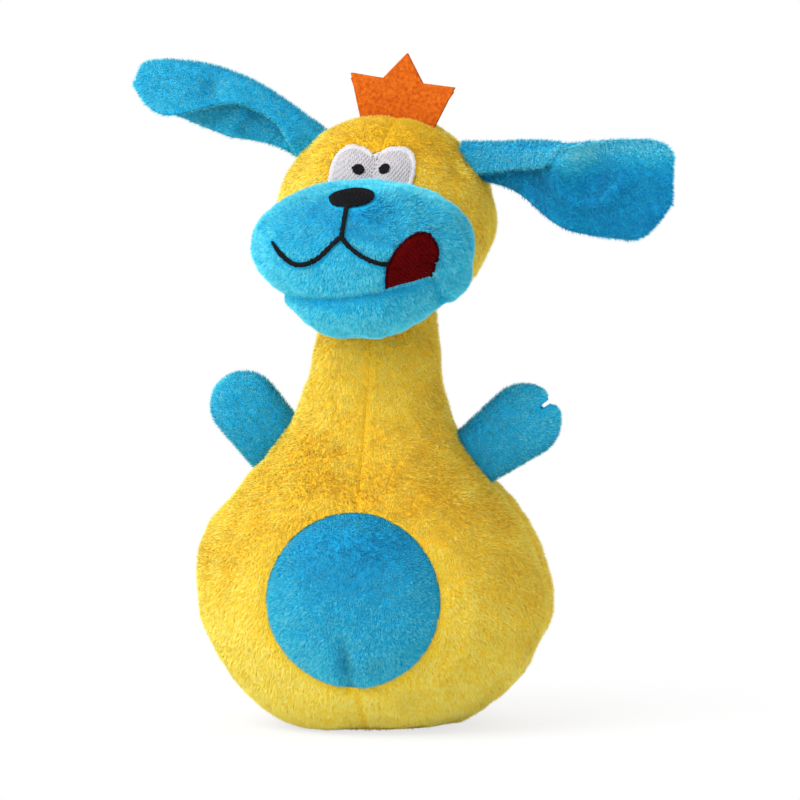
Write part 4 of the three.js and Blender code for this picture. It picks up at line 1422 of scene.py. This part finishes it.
def bent_grid(columns, rows, place):
    """A grid whose points go where place(u, v) says, with u and v from 0 to 1."""
    bm = bmesh.new()
    bmesh.ops.create_grid(bm, x_segments=columns, y_segments=rows, size=0.5)
    for v in bm.verts:
        v.co = place(round((v.co.x + 0.5) * columns) / columns, round((v.co.y + 0.5) * rows) / rows)
    bmesh.ops.remove_doubles(bm, verts=bm.verts[:], dist=0.02)
    bmesh.ops.recalc_face_normals(bm, faces=bm.faces[:])
    bm.normal_update()
    return bm


# %% [markdown]
# Each ear is given by its sections from the root to the tip: the height of the crest, the length of
# both flaps and how far the fold opens. The left ear opens to a broad, dented end. Painted light
# brightens the pile in front near its crest and on its flap, and painted shade darkens it lower
# down. The right ear stays folded.

# %% Ears
EAR_ROOT_ANGLE, EAR_TUCK, EAR_FOLD = radians(40), 4, 2.6
EAR_ROUNDING, EAR_NARROWING = 0.8, 0.54
EAR_SKIN = 0.9  # half the thickness of the two backing cloths
EARS = {
    "left": dict(
        side=1, length=57.6, lift=4, crest=stations(5.4, 7, 7.8, 10.2, 10.8),
        back=stations(7, 11.2, 22.6, 28.2, 28.6),
        front=stations(
            6.4, 6, 5.6, 5.3, 5, 4.7, 4.4, 3.6, 1.4, 0.6, 0.4, 0.4, 0.3, 0.3, 0.3, 0.3, 0.3
        ),
        open=stations(2, 3, 4, 5, 6, 8, 10, 24, 65, 95, 105, 110, 110, 110, 110, 110, 110),
        fold=stations(2.6, 2.6, 2.3, 1.5, 1.2),
        dent=((34.5, 1.9), 6.0, 2.8), away=0.18, droop=0.25, corner=5.0,
        # Painted light near the crest and on the flap, and painted shade lower on the broad end.
        bulge=((26, 3.5), (5.0, 7.0), 5.6), painted_pale=0.3, painted_deep=-0.8,
        ridge=[(21.6, -0.5), (24.9, -5.2), (29, -8.8), (37.4, -8.1), (42.9, -2.4)],
    ),
    "right": dict(
        side=-1, length=55.9, lift=13, crest=stations(2.8, 7.2, 9.2, 8.2, 3.6),
        back=stations(7.7, 10.3, 14.7, 13.6, 8.6),
        front=stations(9.5, 7.6, 4.4, 4.6, 6.0, 10.6, 14.6, 13.4, 10.4),
        open=stations(2, 25, 30, 22, 15), fold=stations(2.6, 2.6, 2.6, 2.6, 2.2),
        dent=((32.6, 3.8), 4.2, 2.6), away=0.0, droop=0.0, corner=1.0,
        bulge=((0, 0), (1, 1), 0), painted_pale=0.0, painted_deep=0.0,
        ridge=[(22.9, 0.5), (24.3, -4.2), (24, -7.9)],
    ),
}
EAR_RIDGE, EAR_RIDGE_WIDTH = 1.6, 2.4
EAR_END = 0.86  # share of the length where the upper corner starts to round off
EAR_COLUMNS, EAR_ROWS = 72, 60
FLAP_END = 21  # where the left ear's fold opens
PAINTED_DEEP_FROM, PAINTED_DEEP_TO = 3, 10  # how far below the crest the painted shade starts, and where it is full
DROOP_FROM, DROOP_OVER = 22, 10  # along the ear
EAR_BARE = 1.5  # the pile starts this far inside the head
LIMB_DROOP = 0.3  # how much the nap of an ear or an arm runs down


def ear_middle(ear, t, s):
    """Place between the two layers and the way out of the fold, at a share s of the section."""
    fold = ear["fold"](t)
    end = max(0, (t - EAR_END) / (1 - EAR_END))
    crest = ear["crest"](t) - fold - ear["corner"] * (1 - sqrt(1 - end * end))
    turned = pi - radians(ear["open"](t))
    tip = max(0, (t - EAR_ROUNDING) / (1 - EAR_ROUNDING))
    taper = 1 - EAR_NARROWING * tip**2.3
    behind, ahead = taper * ear["back"](t), taper * ear["front"](t)
    far = s * (behind + fold * turned + ahead)
    if far < behind:
        return (EAR_FOLD, crest - behind + far), (1, 0)
    angle = min((far - behind) / fold, turned)
    out = (cos(angle), sin(angle))
    rest = max(0, far - behind - fold * turned)
    y = EAR_FOLD - fold + fold * out[0] - rest * out[1]
    return (y, crest + fold * out[1] + rest * out[0]), out


def ear_skin(ear):
    ridge = curve_through(ear["ridge"], 12)

    def place(u, v):
        t = 1 - (1 - v) ** 1.2
        x = -EAR_TUCK + (ear["length"] + EAR_TUCK) * t
        s = 1 - abs(2 * u - 1)
        face = 1 if u < 0.5 else -1
        (y, z), (oy, oz) = ear_middle(ear, t, s)
        edge = min(1, 6 * s, 6 * (1 - s), 12 * (1 - t)) ** 0.5
        puff = face * EAR_SKIN * edge * (1 + 0.25 * sin(9 * t + 5 * s))
        middle, size, depth = ear["dent"]
        y += dip(sqrt((x - middle[0]) ** 2 + (z - middle[1]) ** 2), depth, size)
        y -= dip(np.hypot(ridge[:, 0] - x, ridge[:, 1] - z).min(), EAR_RIDGE, EAR_RIDGE_WIDTH)
        (bx, bz), (wide, tall), far = ear["bulge"]
        behind = min(max((y + EAR_FOLD) / (2 * EAR_FOLD), 0), 1)
        y -= behind * far * exp(-(((x - bx) / wide) ** 2) - ((z - bz) / tall) ** 2)
        y += ear["away"] * max(0, x - ear["length"] / 2)
        y -= ear["droop"] * min(max(x - DROOP_FROM, 0) / DROOP_OVER, 1) * min(z, 0)
        return Vector((ear["side"] * x, y + oy * puff, z + oz * puff))

    bm = bent_grid(EAR_COLUMNS, EAR_ROWS, place)
    bmesh.ops.holes_fill(bm, edges=bm.edges[:], sides=0)
    outward(bm)
    turn = Matrix.Rotation(-ear["side"] * radians(ear["lift"]), 4, "Y")
    root = Vector((
        ear["side"] * HEAD_SIZE[0] * cos(EAR_ROOT_ANGLE), 0,
        HEAD_MIDDLE[2] + HEAD_SIZE[2] * sin(EAR_ROOT_ANGLE),
    ))
    where = HEAD_PLACE @ Matrix.Translation(root) @ turn
    bmesh.ops.transform(bm, matrix=where, verts=bm.verts[:])
    return bm, where


def at_home(where, points):
    """Points of the toy, as a piece measures them before it is put in its place."""
    home = np.array(where.inverted())
    return points @ home[:3, :3].T + home[:3, 3]


def limb_nap(axis):
    """Nap that runs along an ear or an arm, and a little down."""
    along = np.array(axis) + DOWN * LIMB_DROOP
    return lambda points, facing: along


def ear_painted_tint(ear, where):
    """Tint of forward pile: painted light near the crest and flap, painted shade lower down."""

    def painted_tint(points, facing):
        x, y, z = at_home(where, points).T
        along = x * ear["side"]
        shares = (along + EAR_TUCK) / (ear["length"] + EAR_TUCK)
        drop = ear["crest"](np.clip(shares, 0, 1)) - z
        low = np.clip((drop - PAINTED_DEEP_FROM) / (PAINTED_DEEP_TO - PAINTED_DEEP_FROM), 0, 1)
        low[(along < FLAP_END) & (y < 0)] = 0
        shift = ear["painted_pale"] + (ear["painted_deep"] - ear["painted_pale"]) * low
        return np.where(facing[:, 1] < 0, shift, 0)

    return painted_tint


for i, (name, ear) in enumerate(EARS.items(), 31):
    skin, where = ear_skin(ear)
    axis = where.to_3x3() @ Vector((ear["side"], 0, 0))
    piece = plush(
        f"plush_ear_{name}", skin, blue_plush, limb_nap(axis), lambda p: in_head(p, EAR_BARE),
        length=SHORT_PILE, lean=SHORT_LEAN, seed=i, closed=True, painted_tint=ear_painted_tint(ear, where),
    )
    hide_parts(f"ear_{name}_outer", f"ear_{name}_inner")
    root = where @ Vector((0, 0, 0))
    (root - axis * 2) * MM
    (root + axis * 9) * MM
    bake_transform(piece)

# %% [markdown]
# ## Arms
# An arm is a mitten: two layers sewn along the outline and lightly stuffed, so it swells to the
# middle. The left one has a slit at its end that makes two fingers.

# %% Arms
ARM_THICKNESS = 12
SLIT_LENGTH = 5.2
SLIT_ROOM, SLIT_TAPER = 1.0, 0.6  # half its width at the tip, and the share of it at the inner end
SLIT_CLIP, SLIT_REACH = 0.75, 1.6  # how much shorter the pile is in it, and how far around
FINGER_ROUNDING = 1.3
ARMS = {
    "left": dict(
        side=1, hinge=30.51, height=80, lift=37, length=28.8, root=9.6, paw=11.5, slit=SLIT_LENGTH
    ),
    "right": dict(
        side=-1, hinge=28.68, height=82.5, lift=50, length=25.5, root=10.4, paw=10.8, slit=0
    ),
}
ARM_COLUMNS, ARM_ROWS = 144, 24
TIP_CROWDING = 0.7  # the columns stand closer at the tip, where the slit is


def mitten_outline(arm, share):
    """A point of the mitten's outline, from its tip round the root and back to the tip."""
    root, paw = arm["root"], arm["paw"]
    reach = arm["length"] - paw
    turn = pi / 2 + asin((paw - root) / reach)
    arc, straight = paw * turn, reach * sin(turn)
    at = (1 - abs(2 * share - 1)) * (arc + straight + root * (pi - turn))
    up = 1 if share < 0.5 else -1
    if at < arc:
        radius = paw - (dip(at, FINGER_ROUNDING, 2.4) if arm["slit"] else 0)
        return reach + radius * cos(at / paw), up * radius * sin(at / paw)
    if at < arc + straight:
        t = (at - arc) / straight
        x = (reach + paw * cos(turn)) * (1 - t) + root * cos(turn) * t
        return x, up * sin(turn) * (paw * (1 - t) + root * t)
    angle = turn + (at - arc - straight) / root
    return root * cos(angle), up * root * sin(angle)


def slit_cut(bm, arm):
    """A mitten with a narrow slit through both its layers, from the tip inwards."""
    blade = bmesh.new()
    bmesh.ops.create_cube(blade, size=1)
    size = (2 * arm["slit"], 3 * ARM_THICKNESS, 2 * SLIT_ROOM)
    bmesh.ops.scale(blade, vec=size, verts=blade.verts[:])
    for v in blade.verts:
        v.co.z *= 1 if v.co.x * arm["side"] > 0 else SLIT_TAPER
    bmesh.ops.translate(blade, vec=(arm["side"] * arm["length"], 0, 0), verts=blade.verts[:])
    knife = drafted(blade)
    cut = modified(bm, "BOOLEAN", operation="DIFFERENCE", solver="EXACT", object=knife)
    bpy.data.meshes.remove(knife.data)
    return cut


def arm_skin(arm):
    middle = (arm["length"] - arm["paw"]) / 2

    def place(u, v):
        x, z = mitten_outline(arm, u - TIP_CROWDING * sin(tau * u) / tau)
        angle = (v - 0.5) * pi
        shrink = cos(angle) ** 0.9 if 0 < v < 1 else 0
        swell = (ARM_THICKNESS / 2) * sin(angle)
        return Vector((arm["side"] * (middle + (x - middle) * shrink), swell, z * shrink))

    bm = bent_grid(ARM_COLUMNS, ARM_ROWS, place)
    outward(bm)
    sink(bm, lambda p: 0.7 + dip(p.y, 0.4, 1.2))
    if arm["slit"]:
        bm = slit_cut(bm, arm)
    turn = Matrix.Rotation(-arm["side"] * radians(arm["lift"]), 4, "Y")
    where = Matrix.Translation((arm["side"] * arm["hinge"], 0, arm["height"])) @ turn
    bmesh.ops.transform(bm, matrix=where, verts=bm.verts[:])
    return bm, where


def slit_trim(arm, where):
    """Pile cut short in the slit to keep it open, and painted darker there as shade."""

    def shorten_and_shade(points):
        x, _, z = at_home(where, points).T
        before = np.maximum(arm["length"] - arm["slit"] - x * arm["side"], 0)
        return 1 - SLIT_CLIP * np.exp(-((np.hypot(z, before) / SLIT_REACH) ** 2))

    return shorten_and_shade if arm["slit"] else untrimmed


def in_body(points):
    """True for points well inside the body's form."""
    heights = np.array([(p.z, p.x) for p in body_side()])
    radius = np.interp(points[:, 2], heights[:, 0], heights[:, 1]) - 3
    return np.hypot(points[:, 0], points[:, 1] / DEPTH_SHARE) < radius


for i, (name, arm) in enumerate(ARMS.items(), 41):
    skin, where = arm_skin(arm)
    axis = where.to_3x3() @ Vector((arm["side"], 0, 0))
    piece = plush(
        f"plush_arm_{name}", skin, blue_plush, limb_nap(axis), in_body,
        length=SHORT_PILE, lean=SHORT_LEAN, seed=i, closed=True, shorten_and_shade=slit_trim(arm, where),
    )
    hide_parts(f"arm_{name}_front", f"arm_{name}_back")
    root = where @ Vector((0, 0, 0))
    (root - axis * 4) * MM
    (root + axis * 7) * MM
    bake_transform(piece)

# %% [markdown]
# ## Crown
# The crown is one piece of stiff felt, cut as a row of three points. It is extruded from its
# outline, its edges are eased, and it leans a little, as felt that is sewn at its foot does.

# %% Crown
CROWN_BASE, CROWN_SPAN, CROWN_SIDE = 20, 31.8, 11.2
CROWN_VALLEY_SPAN, CROWN_VALLEY, CROWN_HEIGHT, CROWN_FOOT = 12, 11, 19.2, -5
FELT, FELT_EASE = 1.6, 0.35  # thickness, and how far its edges are eased
CROWN_WAVE, CROWN_LEAN, CROWN_CUP = 0.35, 0.0045, 0.12  # how the felt bends out of its plane
HEAD_TOP = HEAD_MIDDLE[2] + HEAD_SIZE[2]
half = [
    (CROWN_BASE / 2, CROWN_FOOT), (CROWN_BASE / 2, 0), (CROWN_SPAN / 2, CROWN_SIDE),
    (CROWN_VALLEY_SPAN / 2, CROWN_VALLEY), (0, CROWN_HEIGHT),
]
outline = half + [(-x, z) for x, z in half[-2::-1]]
felt = bmesh.new()
corners = [felt.verts.new((x, -FELT / 2, HEAD_TOP + z)) for x, z in outline]
face = felt.faces.new(corners)
bmesh.ops.triangulate(felt, faces=[face])
bmesh.ops.subdivide_edges(felt, edges=felt.edges[:], cuts=7, use_grid_fill=True)
grown = bmesh.ops.extrude_face_region(felt, geom=felt.faces[:])["geom"]
moved = [g for g in grown if isinstance(g, bmesh.types.BMVert)]
bmesh.ops.translate(felt, vec=(0, FELT, 0), verts=moved)
bmesh.ops.recalc_face_normals(felt, faces=felt.faces[:])
rim = [e for e in felt.edges if e.calc_face_angle(0) > 1.2]
bmesh.ops.bevel(
    felt, geom=rim, offset=FELT_EASE, offset_type="OFFSET", affect="EDGES", segments=2,
    profile=0.5, material=-1,
)
for v in felt.verts:
    rise = v.co.z - HEAD_TOP
    cup = CROWN_CUP * abs(v.co.x) ** 0.5
    v.co.y += CROWN_WAVE * sin(v.co.x / 5) + CROWN_LEAN * rise * rise - cup
bmesh.ops.transform(felt, matrix=Matrix.Scale(MM, 4) @ HEAD_PLACE, verts=felt.verts[:])
mesh = bpy.data.meshes.new("felt_crown")
felt.to_mesh(mesh)
felt.free()
mesh.polygons.foreach_set("use_smooth", np.ones(len(mesh.polygons), bool))
mesh.set_sharp_from_angle(angle=radians(30))
mesh.materials.append(orange_felt)
crown = in_scene("felt_crown", mesh)
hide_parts("crown")
crown_area = CROWN_BASE * -CROWN_FOOT + (CROWN_BASE + CROWN_SPAN) / 2 * CROWN_SIDE
crown_area += 4 * CROWN_VALLEY_SPAN  # what the points add
crown_root, crown_up = (HEAD_PLACE @ Vector((0, 0, HEAD_TOP + z)) * MM for z in (-1.5, 7))
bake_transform(crown)
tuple(crown_root)
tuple(crown_up)
print("crown faces:", len(mesh.polygons))

# %% [markdown]
# ## Inside
# The wall of the squeaker is pleated so that it can fold up when the tummy is pressed. It is spun
# from a zigzag. The stuffing is loose fibre: each filled solid is made even by a voxel remesh,
# drawn in and roughened, which gives a soft lump of fibre.

# %% Bellows and stuffing
SQUEAKER_RADIUS, PLEAT_DEPTH, PLEATS, BELLOWS_WALL = 21, 3.5, 4, 1.2
BELLOWS_FRONT, BELLOWS_BACK = -33.3, -15.3
BELLOWS_STEPS = 64
FIBRE_VOXEL, BODY_FIBRE_VOXEL = 1.6, 2.6
FIBRE_SINK, FIBRE_LUMPS = 1.6, 0.35


def bellows_wall():
    folds = np.linspace(BELLOWS_FRONT, BELLOWS_BACK, 2 * PLEATS + 1)
    radii = [SQUEAKER_RADIUS - (0 if i % 2 else PLEAT_DEPTH) for i in range(len(folds))]
    outside = [(r, y, 0) for r, y in zip(radii, folds)]
    inside = [(r - BELLOWS_WALL, y, 0) for r, y, _ in reversed(outside)]
    bm = spun(outside + inside, (0, 1, 0), BELLOWS_STEPS, closed=True)
    bmesh.ops.recalc_face_normals(bm, faces=bm.faces[:])
    bmesh.ops.translate(bm, vec=(0, 0, TUMMY_HEIGHT), verts=bm.verts[:])
    return bm


def finished(name, bm, finish, node):
    """A piece from a form in millimetres, with one finish, in place of a solid."""
    bmesh.ops.scale(bm, vec=(MM, MM, MM), verts=bm.verts[:])
    mesh = bpy.data.meshes.new(name)
    bm.to_mesh(mesh)
    bm.free()
    mesh.materials.append(finish)
    mesh.polygons.foreach_set("use_smooth", np.ones(len(mesh.polygons), bool))
    piece = in_scene(name, mesh)
    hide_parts(node)
    return piece


bellows = finished(
    "bellows_wall", bellows_wall(), soft_plastic, "squeaker_pleats"
)
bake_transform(bellows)
FILLS = {
    "body_stuffing": "body", "tummy_stuffing": "tummy", "head_stuffing": "head",
    "muzzle_stuffing": "head", "arm_left_stuffing": "arm_left", "arm_right_stuffing": "arm_right",
}
for node, carrier in FILLS.items():
    lump = bmesh.new()
    lump.from_mesh(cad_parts[node].data)
    bmesh.ops.scale(lump, vec=(1 / MM,) * 3, verts=lump.verts[:])
    bmesh.ops.remove_doubles(lump, verts=lump.verts[:], dist=0.001)
    lump = remeshed(lump, BODY_FIBRE_VOXEL if node == "body_stuffing" else FIBRE_VOXEL)
    sink(lump, lambda p: FIBRE_SINK + FIBRE_LUMPS * sin(p.x * 1.1) * sin(p.y * 0.9 + p.z * 1.3))
    fill = finished(node.replace("stuffing", "fibre"), lump, white_fibre, node)
    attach(fill, carrier)
print("fills:", len(FILLS))

# %% [markdown]
# ## Finish
# The forms of the body, the head and the muzzle are freed.

# %% Freeing the forms
for form in (body, head, muzzle):
    form.free()
